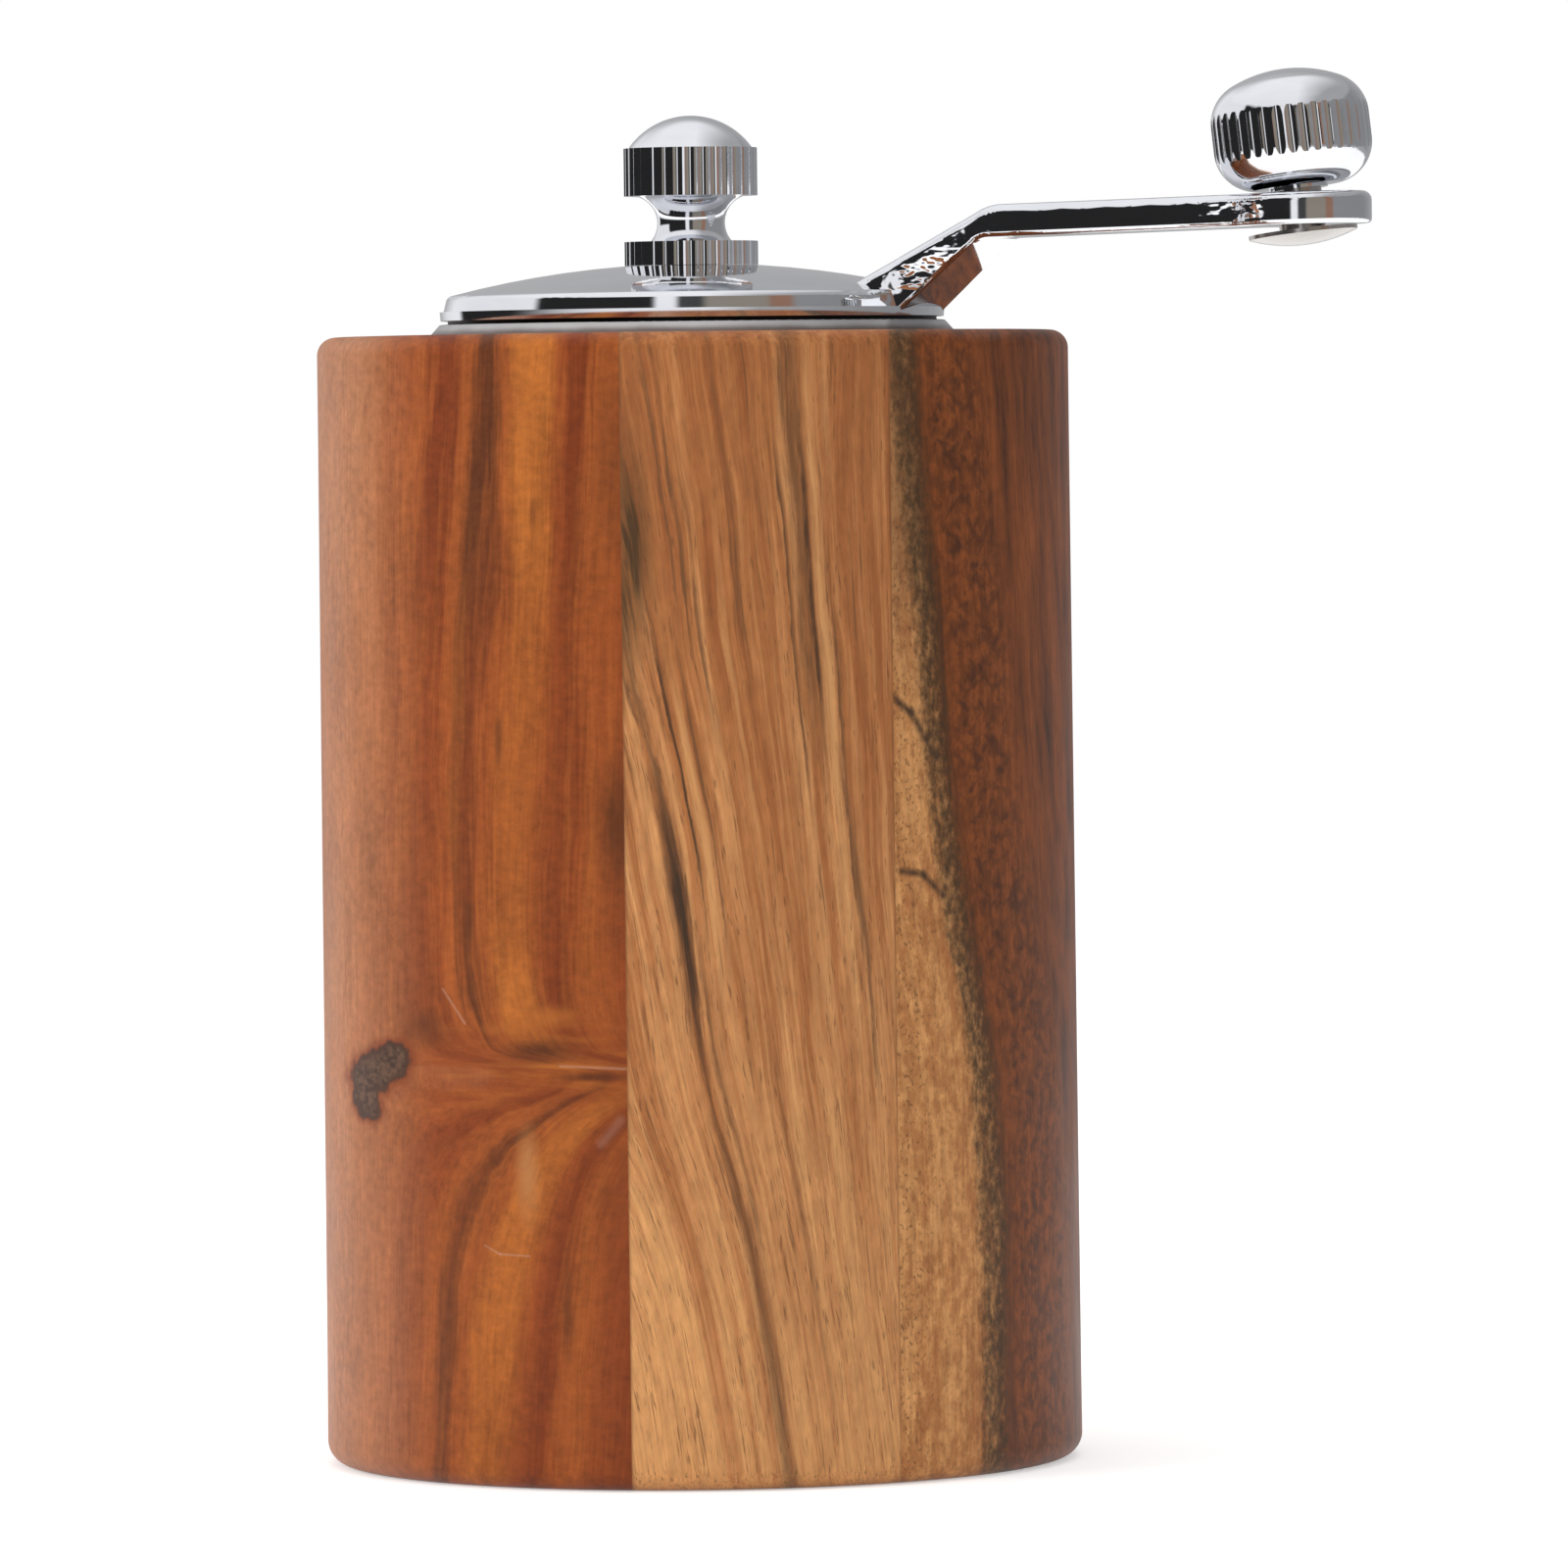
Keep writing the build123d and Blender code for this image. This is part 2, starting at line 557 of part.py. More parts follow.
with BuildPart() as drive_bush:
    with BuildSketch(Plane.XY.offset(bush_flange_foot)):
        Circle(bush_flange_radius)
    extrude(amount=BUSH_FLANGE_THICKNESS)
    with BuildSketch(Plane.XY.offset(bush_flange_top)):
        Circle(bush_radius)
    extrude(amount=hopper_floor + BUSH_STANDOUT - bush_flange_top)
    with BuildSketch(Plane.XY.offset(bush_flange_foot)):
        Rectangle(socket_side, socket_side)
    extrude(amount=hopper_floor + BUSH_STANDOUT - bush_flange_foot, mode=Mode.SUBTRACT)

with BuildPart() as thrust_washer:
    with BuildSketch(Plane.XY.offset(thrust_washer_top)):
        Circle(bush_flange_radius)
        Circle(bush_bore_radius, mode=Mode.SUBTRACT)
    extrude(amount=-THRUST_WASHER_THICKNESS)

# Burr carrier: pocket for the outer burr, throat, and a bridge with the bush's hub
outer_burr_radius = OUTER_BURR_DIAMETER / 2
pocket_roof = RECESS_DEPTH + OUTER_BURR_HEIGHT + SEAT_CLEARANCE
throat_radius = CARRIER_THROAT_DIAMETER / 2

with BuildPart() as burr_carrier:
    with BuildSketch(Plane.XY.offset(RECESS_DEPTH)):
        Circle(carrier_bore_radius - FIT_CLEARANCE)
    extrude(amount=CARRIER_HEIGHT)
    with BuildSketch(Plane.XY.offset(RECESS_DEPTH)):
        Circle(outer_burr_radius + FIT_CLEARANCE)
    extrude(amount=pocket_roof - RECESS_DEPTH, mode=Mode.SUBTRACT)
    with BuildSketch(Plane.XY.offset(RECESS_DEPTH)):
        with PolarLocations(outer_burr_radius, BURR_LUGS):
            Circle(BURR_LUG_RADIUS + FIT_CLEARANCE)
    extrude(amount=BURR_LUG_HEIGHT + SEAT_CLEARANCE, mode=Mode.SUBTRACT)
    with BuildSketch(Plane.XY.offset(pocket_roof)):
        Circle(throat_radius)
    extrude(amount=bridge_under - pocket_roof, mode=Mode.SUBTRACT)
    with BuildSketch(Plane.XY.offset(bridge_under)):
        Circle(throat_radius)
        Circle(CARRIER_HUB_DIAMETER / 2, mode=Mode.SUBTRACT)
        Rectangle(CARRIER_BRIDGE_WIDTH, CARRIER_THROAT_DIAMETER, mode=Mode.SUBTRACT)
    extrude(amount=CARRIER_BRIDGE_HEIGHT, mode=Mode.SUBTRACT)
    with BuildSketch(Plane.XY.offset(bridge_under)):
        Circle(bush_bore_radius)
    extrude(amount=CARRIER_BRIDGE_HEIGHT, mode=Mode.SUBTRACT)


def groove_planes(count, foot, head):
    """Planes square to evenly spaced lines along a cone, with the cone's outward side as their Y."""
    foot_radius, foot_height = foot
    head_radius, head_height = head
    run = Vector(head_radius - foot_radius, 0, head_height - foot_height)
    for index in range(count):
        turn = 360 / count * index
        yield Plane(
            origin=Vector(foot_radius, 0, foot_height).rotate(Axis.Z, turn),
            x_dir=Vector(0, -1, 0).rotate(Axis.Z, turn),
            z_dir=run.rotate(Axis.Z, turn),
        )


def v_grooves(count, foot, head, width, depth):
    """V-grooves along a cone: a positive depth goes into a bore's wall, a negative one into a core."""
    overrun = abs(depth)
    with BuildPart() as grooves:
        for plane in groove_planes(count, foot, head):
            with BuildSketch(plane.offset(-overrun)):
                with BuildLine():
                    Polyline((-width, -depth), (width, -depth), (0, depth), close=True)
                make_face()
        extrude(amount=math.dist(foot, head) + 2 * overrun)
    return grooves.part


# Outer burr: an hourglass bore with teeth below its waist and feed flutes above it
mouth = (OUTER_BURR_MOUTH_DIAMETER / 2, RECESS_DEPTH)
waist_ring = (OUTER_BURR_WAIST_DIAMETER / 2, burr_waist)
throat = (OUTER_BURR_THROAT_DIAMETER / 2, RECESS_DEPTH + OUTER_BURR_HEIGHT)
tooth_grooves = v_grooves(
    OUTER_BURR_TEETH, mouth, waist_ring, BURR_TOOTH_WIDTH, BURR_TOOTH_DEPTH
)
feed_grooves = v_grooves(
    OUTER_BURR_FEED_FLUTES, throat, waist_ring, FEED_FLUTE_WIDTH, FEED_FLUTE_DEPTH
)

with BuildPart() as outer_burr:
    with BuildSketch(Plane.XZ):
        with BuildLine():
            Polyline(
                mouth,
                (outer_burr_radius, mouth[1]),
                (outer_burr_radius, throat[1]),
                throat,
                waist_ring,
                close=True,
            )
        make_face()
    revolve(axis=Axis.Z)
    with BuildSketch(Plane.XY.offset(RECESS_DEPTH)):
        with PolarLocations(outer_burr_radius, BURR_LUGS):
            Circle(BURR_LUG_RADIUS)
        Circle(outer_burr_radius - BURR_LUG_RADIUS / 2, mode=Mode.SUBTRACT)
    extrude(amount=BURR_LUG_HEIGHT)
    add(tooth_grooves, mode=Mode.SUBTRACT)
    add(feed_grooves, mode=Mode.SUBTRACT)

# Inner burr: a cone that runs a gap inside the outer burr's lower cone
cone_slope = (mouth[0] - waist_ring[0]) / OUTER_BURR_WAIST_HEIGHT
radial_gap = BURR_GAP * math.hypot(1, cone_slope)
inner_mouth = (mouth[0] - radial_gap - INNER_BURR_LIFT * cone_slope, inner_burr_foot)
inner_waist = (waist_ring[0] - radial_gap, burr_waist)
inner_top = (INNER_BURR_TOP_DIAMETER / 2, inner_burr_top)
inner_tooth_grooves = v_grooves(
    INNER_BURR_TEETH, inner_mouth, inner_waist, BURR_TOOTH_WIDTH, -BURR_TOOTH_DEPTH
)
inner_feed_grooves = v_grooves(
    INNER_BURR_FEED_FLUTES, inner_top, inner_waist, FEED_FLUTE_WIDTH, -FEED_FLUTE_DEPTH
)

with BuildPart() as inner_burr:
    with BuildSketch(Plane.XZ):
        with BuildLine():
            Polyline(
                (0, inner_burr_foot),
                inner_mouth,
                inner_waist,
                inner_top,
                (0, inner_burr_top),
                close=True,
            )
        make_face()
    revolve(axis=Axis.Z)
    add(inner_tooth_grooves, mode=Mode.SUBTRACT)
    add(inner_feed_grooves, mode=Mode.SUBTRACT)
    with BuildSketch(Plane.XY.offset(inner_burr_foot)):
        Circle(BURR_WELL_DIAMETER / 2)
    extrude(amount=BURR_WELL_DEPTH, mode=Mode.SUBTRACT)
    with BuildSketch(Plane.XY.offset(inner_burr_foot)):
        Rectangle(socket_side, socket_side)
    extrude(amount=INNER_BURR_HEIGHT, mode=Mode.SUBTRACT)

# Washer and screw that hold the inner burr on the shaft
burr_screw_radius = BURR_SCREW_DIAMETER / 2
burr_washer_foot = burr_well_roof - BURR_WASHER_THICKNESS
burr_screw_foot = burr_washer_foot - BURR_SCREW_HEAD_HEIGHT

with BuildPart() as burr_washer:
    with BuildSketch(Plane.XY.offset(burr_washer_foot)):
        Circle(BURR_WASHER_DIAMETER / 2)
        Circle(burr_screw_radius + FIT_CLEARANCE, mode=Mode.SUBTRACT)
    extrude(amount=BURR_WASHER_THICKNESS)

with BuildPart() as burr_screw:
    with BuildSketch(Plane.XY.offset(burr_screw_foot)):
        Circle(BURR_SCREW_HEAD_DIAMETER / 2)
    extrude(amount=BURR_SCREW_HEAD_HEIGHT)
    fillet(burr_screw.edges().sort_by(Axis.Z)[0], radius=BURR_SCREW_HEAD_ROUND)
    with BuildSketch(Plane.XY.offset(burr_washer_foot)):
        Circle(burr_screw_radius)
    extrude(amount=BURR_SCREW_LENGTH)
    with BuildSketch(Plane.XY.offset(burr_screw_foot)):
        Rectangle(BURR_SCREW_HEAD_DIAMETER, BURR_SCREW_SLOT_WIDTH)
    extrude(amount=BURR_SCREW_SLOT_DEPTH, mode=Mode.SUBTRACT)

# Spring seat, and the spring between it and the bush
with BuildPart() as spring_seat:
    with BuildSketch(Plane.XY.offset(inner_burr_top)):
        Circle(inner_top[0])
        Circle(shaft_swing_radius + SQUARE_CLEARANCE, mode=Mode.SUBTRACT)
    extrude(amount=SPRING_SEAT_THICKNESS)

spring_radius = SPRING_MEAN_DIAMETER / 2
spring_margin = SPRING_WIRE / 2 + SEAT_CLEARANCE
spring_foot = inner_burr_top + SPRING_SEAT_THICKNESS + spring_margin
spring_pitch = (bush_flange_foot - spring_margin - spring_foot) / SPRING_TURNS


def spring_point(turn):
    """Point on the wire's centre line after so many turns."""
    angle = math.tau * turn
    height = spring_foot + spring_pitch * turn
    return Vector(spring_radius * math.cos(angle), spring_radius * math.sin(angle), height)


def spring_heading(turn):
    """Direction of the wire after so many turns."""
    angle = math.tau * turn
    rise = spring_pitch / math.tau
    return Vector(-spring_radius * math.sin(angle), spring_radius * math.cos(angle), rise).normalized()


with BuildPart() as burr_spring:
    with BuildLine() as spring_line:
        for quarter in range(4 * SPRING_TURNS):
            start, end = spring_point(quarter / 4), spring_point((quarter + 1) / 4)
            leaving, arriving = spring_heading(quarter / 4), spring_heading((quarter + 1) / 4)
            chord = end - start
            bend = 1 - leaving.dot(arriving)
            along = chord.dot(leaving + arriving)
            reach = (math.sqrt(along**2 + 2 * bend * chord.dot(chord)) - along) / (2 * bend)
            first_corner = start + leaving * reach
            second_corner = end - arriving * reach
            middle = (first_corner + second_corner) / 2
            TangentArc(start, middle, tangent=leaving)
            TangentArc(middle, end, tangent=second_corner - first_corner)
    with BuildSketch(Plane(origin=spring_point(0), z_dir=spring_heading(0))):
        Circle(SPRING_WIRE / 2)
    sweep(path=spring_line.line)

one_turn_gaps = [
    (spring_point(1 + step / SPRING_GAP_SAMPLES) - spring_point(0)).length - SPRING_WIRE
    for step in range(-SPRING_GAP_SAMPLES // 4, SPRING_GAP_SAMPLES // 4)
]
print(f"spring: least gap between turns {min(one_turn_gaps):.2f} mm")

# Retaining ring with countersunk holes, and its screws
ring_head_radius = RING_SCREW_HEAD_DIAMETER / 2
countersink_taper = math.degrees(
    math.atan2(ring_head_radius - ring_screw_radius, RING_SCREW_HEAD_HEIGHT)
)
tip_taper = math.degrees(
    math.atan2(ring_screw_radius - RING_SCREW_TIP_DIAMETER / 2, RING_SCREW_TIP_LENGTH)
)


def ring_screw_places():
    """Places of the ring's screws round the axis."""
    return PolarLocations(RING_SCREW_CIRCLE / 2, RING_SCREWS, start_angle=ring_screw_start)


with BuildPart() as retaining_ring:
    with BuildSketch(Plane.XY.offset(ring_screw_bottom)):
        Circle(recess_radius - RING_EDGE_CLEARANCE)
        Circle(RING_HOLE_DIAMETER / 2, mode=Mode.SUBTRACT)
    extrude(amount=RING_THICKNESS)
    with BuildSketch(Plane.XY.offset(ring_screw_bottom)):
        with ring_screw_places():
            Circle(ring_screw_radius + FIT_CLEARANCE)
    extrude(amount=RING_THICKNESS, mode=Mode.SUBTRACT)
    with BuildSketch(Plane.XY.offset(ring_screw_bottom)):
        with ring_screw_places():
            Circle(ring_head_radius + FIT_CLEARANCE)
    extrude(amount=RING_SCREW_HEAD_HEIGHT, taper=countersink_taper, mode=Mode.SUBTRACT)

with BuildPart() as ring_screws:
    with BuildSketch(Plane.XY.offset(ring_screw_bottom)):
        with ring_screw_places():
            Circle(ring_head_radius)
    extrude(amount=RING_SCREW_HEAD_HEIGHT, taper=countersink_taper)
    with BuildSketch(Plane.XY.offset(ring_screw_bottom)):
        with ring_screw_places():
            Circle(ring_screw_radius)
    extrude(amount=RING_SCREW_LENGTH - RING_SCREW_TIP_LENGTH)
    with BuildSketch(Plane.XY.offset(ring_screw_bottom + RING_SCREW_LENGTH - RING_SCREW_TIP_LENGTH)):
        with ring_screw_places():
            Circle(ring_screw_radius)
    extrude(amount=RING_SCREW_TIP_LENGTH, taper=tip_taper)
    with BuildSketch(Plane.XY.offset(ring_screw_bottom)):
        with ring_screw_places():
            Rectangle(RING_SCREW_HEAD_DIAMETER, RING_SCREW_SLOT_WIDTH)
    extrude(amount=RING_SCREW_SLOT_DEPTH, mode=Mode.SUBTRACT)

os.makedirs("parts", exist_ok=True)
board_left.part.label = "board_left"
export_step(board_left.part, "parts/board_left.step")
board_front.part.label = "board_front"
export_step(board_front.part, "parts/board_front.step")
board_back.part.label = "board_back"
export_step(board_back.part, "parts/board_back.step")
board_right.part.label = "board_right"
export_step(board_right.part, "parts/board_right.step")
top_collar.part.label = "top_collar"
export_step(top_collar.part, "parts/top_collar.step")
lid_and_arm.part.label = "lid_and_arm"
export_step(lid_and_arm.part, "parts/lid_and_arm.step")
adjusting_nut.part.label = "adjusting_nut"
export_step(adjusting_nut.part, "parts/adjusting_nut.step")
handle_knob.part.label = "handle_knob"
export_step(handle_knob.part, "parts/handle_knob.step")
handle_pin.part.label = "handle_pin"
export_step(handle_pin.part, "parts/handle_pin.step")
drive_shaft.part.label = "drive_shaft"
export_step(drive_shaft.part, "parts/drive_shaft.step")
drive_bush.part.label = "drive_bush"
export_step(drive_bush.part, "parts/drive_bush.step")
thrust_washer.part.label = "thrust_washer"
export_step(thrust_washer.part, "parts/thrust_washer.step")
burr_carrier.part.label = "burr_carrier"
export_step(burr_carrier.part, "parts/burr_carrier.step")
outer_burr.part.label = "outer_burr"
export_step(outer_burr.part, "parts/outer_burr.step")
inner_burr.part.label = "inner_burr"
export_step(inner_burr.part, "parts/inner_burr.step")
burr_washer.part.label = "burr_washer"
export_step(burr_washer.part, "parts/burr_washer.step")
burr_screw.part.label = "burr_screw"
export_step(burr_screw.part, "parts/burr_screw.step")
spring_seat.part.label = "spring_seat"
export_step(spring_seat.part, "parts/spring_seat.step")
burr_spring.part.label = "burr_spring"
export_step(burr_spring.part, "parts/burr_spring.step")
retaining_ring.part.label = "retaining_ring"
export_step(retaining_ring.part, "parts/retaining_ring.step")
ring_screws.part.label = "ring_screws"
export_step(ring_screws.part, "parts/ring_screws.step")
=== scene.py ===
"""Looks of the hand-cranked burr coffee grinder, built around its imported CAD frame.

Metres, +Z up. The origin is on the mill's axis, in the plane that the body stands on.
Inside the materials, places are in millimetres. On the boards they run across, into the wood, and up.
"""

import math

import bpy
from mathutils import Matrix, Vector


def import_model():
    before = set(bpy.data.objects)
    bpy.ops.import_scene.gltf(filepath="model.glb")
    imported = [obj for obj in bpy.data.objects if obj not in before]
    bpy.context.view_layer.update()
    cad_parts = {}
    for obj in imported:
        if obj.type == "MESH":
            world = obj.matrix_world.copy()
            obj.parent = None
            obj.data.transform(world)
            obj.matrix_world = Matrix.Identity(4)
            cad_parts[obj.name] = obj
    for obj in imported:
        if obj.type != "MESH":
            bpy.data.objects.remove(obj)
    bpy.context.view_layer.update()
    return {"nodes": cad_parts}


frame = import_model()

# Camera, at the photograph's viewing angle
CAMERA_AZIMUTH = 21.0  # degrees, from facing along +Y
CAMERA_DISTANCE = 1.0  # from the mill's axis
CAMERA_HEIGHT = 0.0915
CAMERA_YAW = 0.4355  # degrees to the right of the axis
CAMERA_PITCH = 1.8446  # degrees down
CAMERA_ROLL = 0.66  # degrees
CAMERA_LENS = 260.9  # millimetres
CAMERA_SENSOR = 36.0  # millimetres
CAMERA_NEAREST = 0.01  # what is closer isn't drawn

# Wooden body, in millimetres
BOARD_ANGLE = 21.0  # degrees that the boards are turned about the mill's axis
BODY_HEIGHT = 99.0
LEFT_SEAM = -6.3
RIGHT_SEAM = 16.8
SEAM_REACH = 0.25  # either side of a seam
FRONT_FADE = (-9.0, 3.0)  # depths over which the front's own marks fade out
MILLIMETRES = 1000.0  # in a metre

# Left board's figure, in millimetres
BRANCH_HEIGHT = 36.0
KNOT_ACROSS = -27.6
KNOT_UP = 35.6
KNOT_RADIUS = 1.9

# Right board's figure
FLECK_LEANS = ((58.0, 26.0), (-50.0, 26.5))  # degrees from level, each with the seed of its noise

# Lid and arm, in millimetres
# The lid's recess is painted near-black as shade, in place of plating
LID_RECESS = (99.9, 100.33)  # from the collar up to the lip's underside
RECESS_EDGE = 0.02
# Heights where the collar's foot gets a painted reflection of the brown wood below it
COLLAR_WOOD_REFLECTION = (99.1, 99.75)  # from full to none
ARM_HEIGHTS = (101.6, 112.4)
ARM_START = (17.0, 20.0)  # from the axis, where the arm's relief begins
ARM_END = (55.5, 54.5)  # and where it ends
ARM_SIDES = (0.5, 0.2)  # how far a face may look up or down and still count as a side
RAMP_SPAN = (19.0, 28.0)
RAMP_HEIGHT = 105.5  # halfway up the arm's ramp
BOSS_SPAN = (48.0, 56.0)
BOSS_HEIGHT = 109.0
DRAFT = 0.85  # how strongly the sides lean

# Depths of relief, in metres
GRAIN_RELIEF = 0.00006
CASTING_RELIEF = 0.00012
TOOL_RELIEF = 0.00002
MOULD_RELIEF = 0.00004

# Colours, linear
# Painted sheen: a pale amber that stands in for the varnish's glancing reflection at the left board's left
# edge
AMBER_SHEEN = (0.420, 0.170, 0.074, 1)
AMBER = (0.330, 0.080, 0.014, 1)
GOLD = (0.445, 0.129, 0.020, 1)
RED_BROWN = (0.265, 0.055, 0.010, 1)
RED_DEEP = (0.190, 0.035, 0.006, 1)
UMBER = (0.110, 0.029, 0.007, 1)
KNOT_DARK = (0.050, 0.024, 0.014, 1)
KNOT_CORE = (0.140, 0.070, 0.040, 1)
SCRATCH = (0.560, 0.320, 0.220, 1)
TAN_PALE = (0.680, 0.330, 0.122, 1)
TAN = (0.555, 0.240, 0.086, 1)
TAN_BROWN = (0.430, 0.158, 0.048, 1)
TAN_RED = (0.330, 0.105, 0.030, 1)
VEIN_DARK = (0.055, 0.028, 0.014, 1)
VEIN_BROWN = (0.160, 0.068, 0.026, 1)
SAP_PALE = (0.620, 0.290, 0.100, 1)
SAP = (0.490, 0.205, 0.066, 1)
OLIVE = (0.066, 0.033, 0.012, 1)
HEART_LIGHT = (0.262, 0.067, 0.012, 1)
HEART = (0.162, 0.041, 0.007, 1)
HEART_DARK = (0.060, 0.018, 0.006, 1)
# Painted reflection of the wood, on the collar's foot
WOOD_REFLECTION_BROWN = (0.110, 0.070, 0.052, 1)
PLATING_DULL = (0.78, 0.79, 0.82, 1)
PLATING_BRIGHT = (0.84, 0.85, 0.88, 1)
# Painted shade, for the narrow gap under the lid's lip
RECESS_SHADE = (0.02, 0.02, 0.02, 1)
SHAFT_STEEL = (0.55, 0.55, 0.56, 1)
SPRING_STEEL = (0.42, 0.42, 0.43, 1)
RING_STEEL = (0.58, 0.58, 0.58, 1)
SCREW_STEEL = (0.60, 0.58, 0.54, 1)
COLLAR_GREY = (0.62, 0.60, 0.59, 1)
NICKEL = (0.62, 0.59, 0.56, 1)
BRASS = (0.72, 0.50, 0.20, 1)
CERAMIC = (0.78, 0.76, 0.70, 1)
NYLON = (0.72, 0.71, 0.66, 1)
PLASTIC_BLACK = (0.030, 0.030, 0.032, 1)
WHITE = (1.0, 1.0, 1.0, 1)
FLOOR_WHITE = (0.9, 0.9, 0.9, 1)
FILL = (0.62, 0.62, 0.62, 1)  # the soft light from all round
TAUPE = (0.28, 0.25, 0.21, 1)  # the studio's walls, as the metal shows them
RUST = (0.30, 0.17, 0.12, 1)
BLUENESS = 1.02  # blue in the studio's greys, for each part of red or green

# Floor and lamps, in metres
FLOOR_REACH = 3.0  # from the mill's axis to each side
FLOOR_HEIGHT = -0.00005  # just clear of the body's foot
FLOOR_MIRRORED = 0.45  # round the mill
FLOOR_FADE = 0.1  # width of the edge of the mirrored part
FLOOR_GLOW = 0.45
LAMP_TARGET = (0, 0, 0.06)

# Studio that the metal mirrors; its heights are parts of a unit vector
LEFT_WINDOW = (-152, -78)  # degrees to the right of the camera
LEFT_WINDOW_FOOT = (0.06, 0.14)
WALL_FOOT = (-0.13, -0.19)
WALL_TOP = (0.50, 0.58)
CEILING = (0.60, 0.85)


class Field:
    """A number that varies over a surface. Its arithmetic adds math nodes to the surface's tree."""

    def __init__(self, nodes, socket):
        self.nodes = nodes
        self.socket = socket

    def __add__(self, other):
        return self.nodes.math("ADD", self, other)

    def __radd__(self, other):
        return self.nodes.math("ADD", other, self)

    def __sub__(self, other):
        return self.nodes.math("SUBTRACT", self, other)

    def __rsub__(self, other):
        return self.nodes.math("SUBTRACT", other, self)

    def __mul__(self, other):
        return self.nodes.math("MULTIPLY", self, other)

    def __rmul__(self, other):
        return self.nodes.math("MULTIPLY", other, self)

    def __truediv__(self, other):
        return self.nodes.math("DIVIDE", self, other)

    def __abs__(self):
        return self.nodes.math("ABSOLUTE", self)

    def at_most(self, limit):
        return self.nodes.math("MINIMUM", self, limit)

    def at_least(self, limit):
        return self.nodes.math("MAXIMUM", self, limit)

    def root(self):
        return self.nodes.math("SQRT", self)

    def decay(self, length):
        """1 at zero, falling off exponentially over a length."""
        return self.nodes.math("EXPONENT", self / length * -1)

    def step(self, start, end):
        """A smooth step from 0 at start to 1 at end."""
        made = self.nodes.node("MapRange", interpolation_type="SMOOTHSTEP")
        self.nodes.feed(made.inputs["Value"], self)
        self.nodes.feed(made.inputs["From Min"], start)
        self.nodes.feed(made.inputs["From Max"], end)
        return Field(self.nodes, made.outputs["Result"])

    def pulse(self, centre, reach):
        """1 at a centre, falling smoothly to 0 at a reach either side of it."""
        return 1 - abs(self - centre).step(0, reach)

    def between(self, low, high, soft):
        """1 between two limits, falling smoothly to 0 over a soft margin inside each."""
        return self.step(low, low + soft) * self.step(high, high - soft)


class Nodes:
    """A node tree, with short calls that add to it."""

    def __init__(self, tree):
        self.tree = tree

    def node(self, kind, **settings):
        made = self.tree.nodes.new("ShaderNode" + kind)
        for name, value in settings.items():
            setattr(made, name, value)
        return made

    def feed(self, socket, value):
        if isinstance(value, Field):
            value = value.socket
        if isinstance(value, bpy.types.NodeSocket):
            self.tree.links.new(value, socket)
        else:
            socket.default_value = value

    def math(self, operation, first, second=0.0):
        made = self.node("Math", operation=operation)
        self.feed(made.inputs[0], first)
        self.feed(made.inputs[1], second)
        return Field(self, made.outputs[0])

    def turned(self, vector, turn, scale=1.0):
        """A vector in a frame that is turned about Z by so many degrees, times a scale."""
        mapping = self.node("Mapping")
        self.feed(mapping.inputs["Vector"], vector)
        mapping.inputs["Rotation"].default_value = (0, 0, math.radians(-turn))
        mapping.inputs["Scale"].default_value = (scale,) * 3
        return mapping.outputs["Vector"]

    def split(self, vector):
        made = self.node("SeparateXYZ")
        self.feed(made.inputs[0], vector)
        return [Field(self, socket) for socket in made.outputs]

    def join(self, x, y, z):
        made = self.node("CombineXYZ")
        for socket, value in zip(made.inputs, (x, y, z)):
            self.feed(socket, value)
        return made.outputs[0]

    def noise(self, place, size, seed=0.0, detail=2.0, roughness=0.5):
        """Noise with features of a size, or of a size along each axis, about 0.5."""
        sizes = size if isinstance(size, tuple) else (size,) * 3
        mapping = self.node("Mapping")
        self.feed(mapping.inputs["Vector"], place)
        mapping.inputs["Scale"].default_value = [1 / each for each in sizes]
        mapping.inputs["Location"].default_value = (seed, 2 * seed, 3 * seed)
        made = self.node("TexNoise")
        self.feed(made.inputs["Vector"], mapping.outputs["Vector"])
        made.inputs["Scale"].default_value = 1.0
        made.inputs["Detail"].default_value = detail
        made.inputs["Roughness"].default_value = roughness
        return Field(self, made.outputs["Fac"])

    def bands(self, value, stops):
        """Colour by a value, through rising stops of a value and a colour."""
        first, last = stops[0][0], stops[-1][0]
        made = self.node("ValToRGB")
        elements = made.color_ramp.elements
        while len(elements) < len(stops):
            elements.new(1.0)
        for element, (stop, colour) in zip(elements, stops):
            element.position = (stop - first) / (last - first)
            element.color = colour
        self.feed(made.inputs["Fac"], (value - first) / (last - first))
        return made.outputs["Color"]

    def path(self, up, points):
        """A place across the boards at each height, on a smooth line through points of height and place."""
        low = min(across for height, across in points)
        span = max(across for height, across in points) - low
        made = self.node("FloatCurve")
        line = made.mapping.curves[0].points
        while len(line) < len(points):
            line.new(1.0, 1.0)
        for knot, (height, across) in zip(line, points):
            knot.location = (height / BODY_HEIGHT, (across - low) / span)
        made.mapping.update()
        self.feed(made.inputs["Value"], up / BODY_HEIGHT)
        return Field(self, made.outputs["Value"]) * span + low

    def mix(self, amount, under, over, blend="MIX"):
        """Two colours mixed, through the node's colour sockets, which come after its others."""
        made = self.node("Mix", data_type="RGBA", blend_type=blend)
        self.feed(made.inputs["Factor"], amount)
        self.feed(made.inputs[6], under)
        self.feed(made.inputs[7], over)
        return made.outputs[2]

    def shade(self, colour, value):
        """A colour times a number."""
        grey = self.node("CombineColor")
        for socket in grey.inputs[:3]:
            self.feed(socket, value)
        return self.mix(1.0, colour, grey.outputs[0], blend="MULTIPLY")


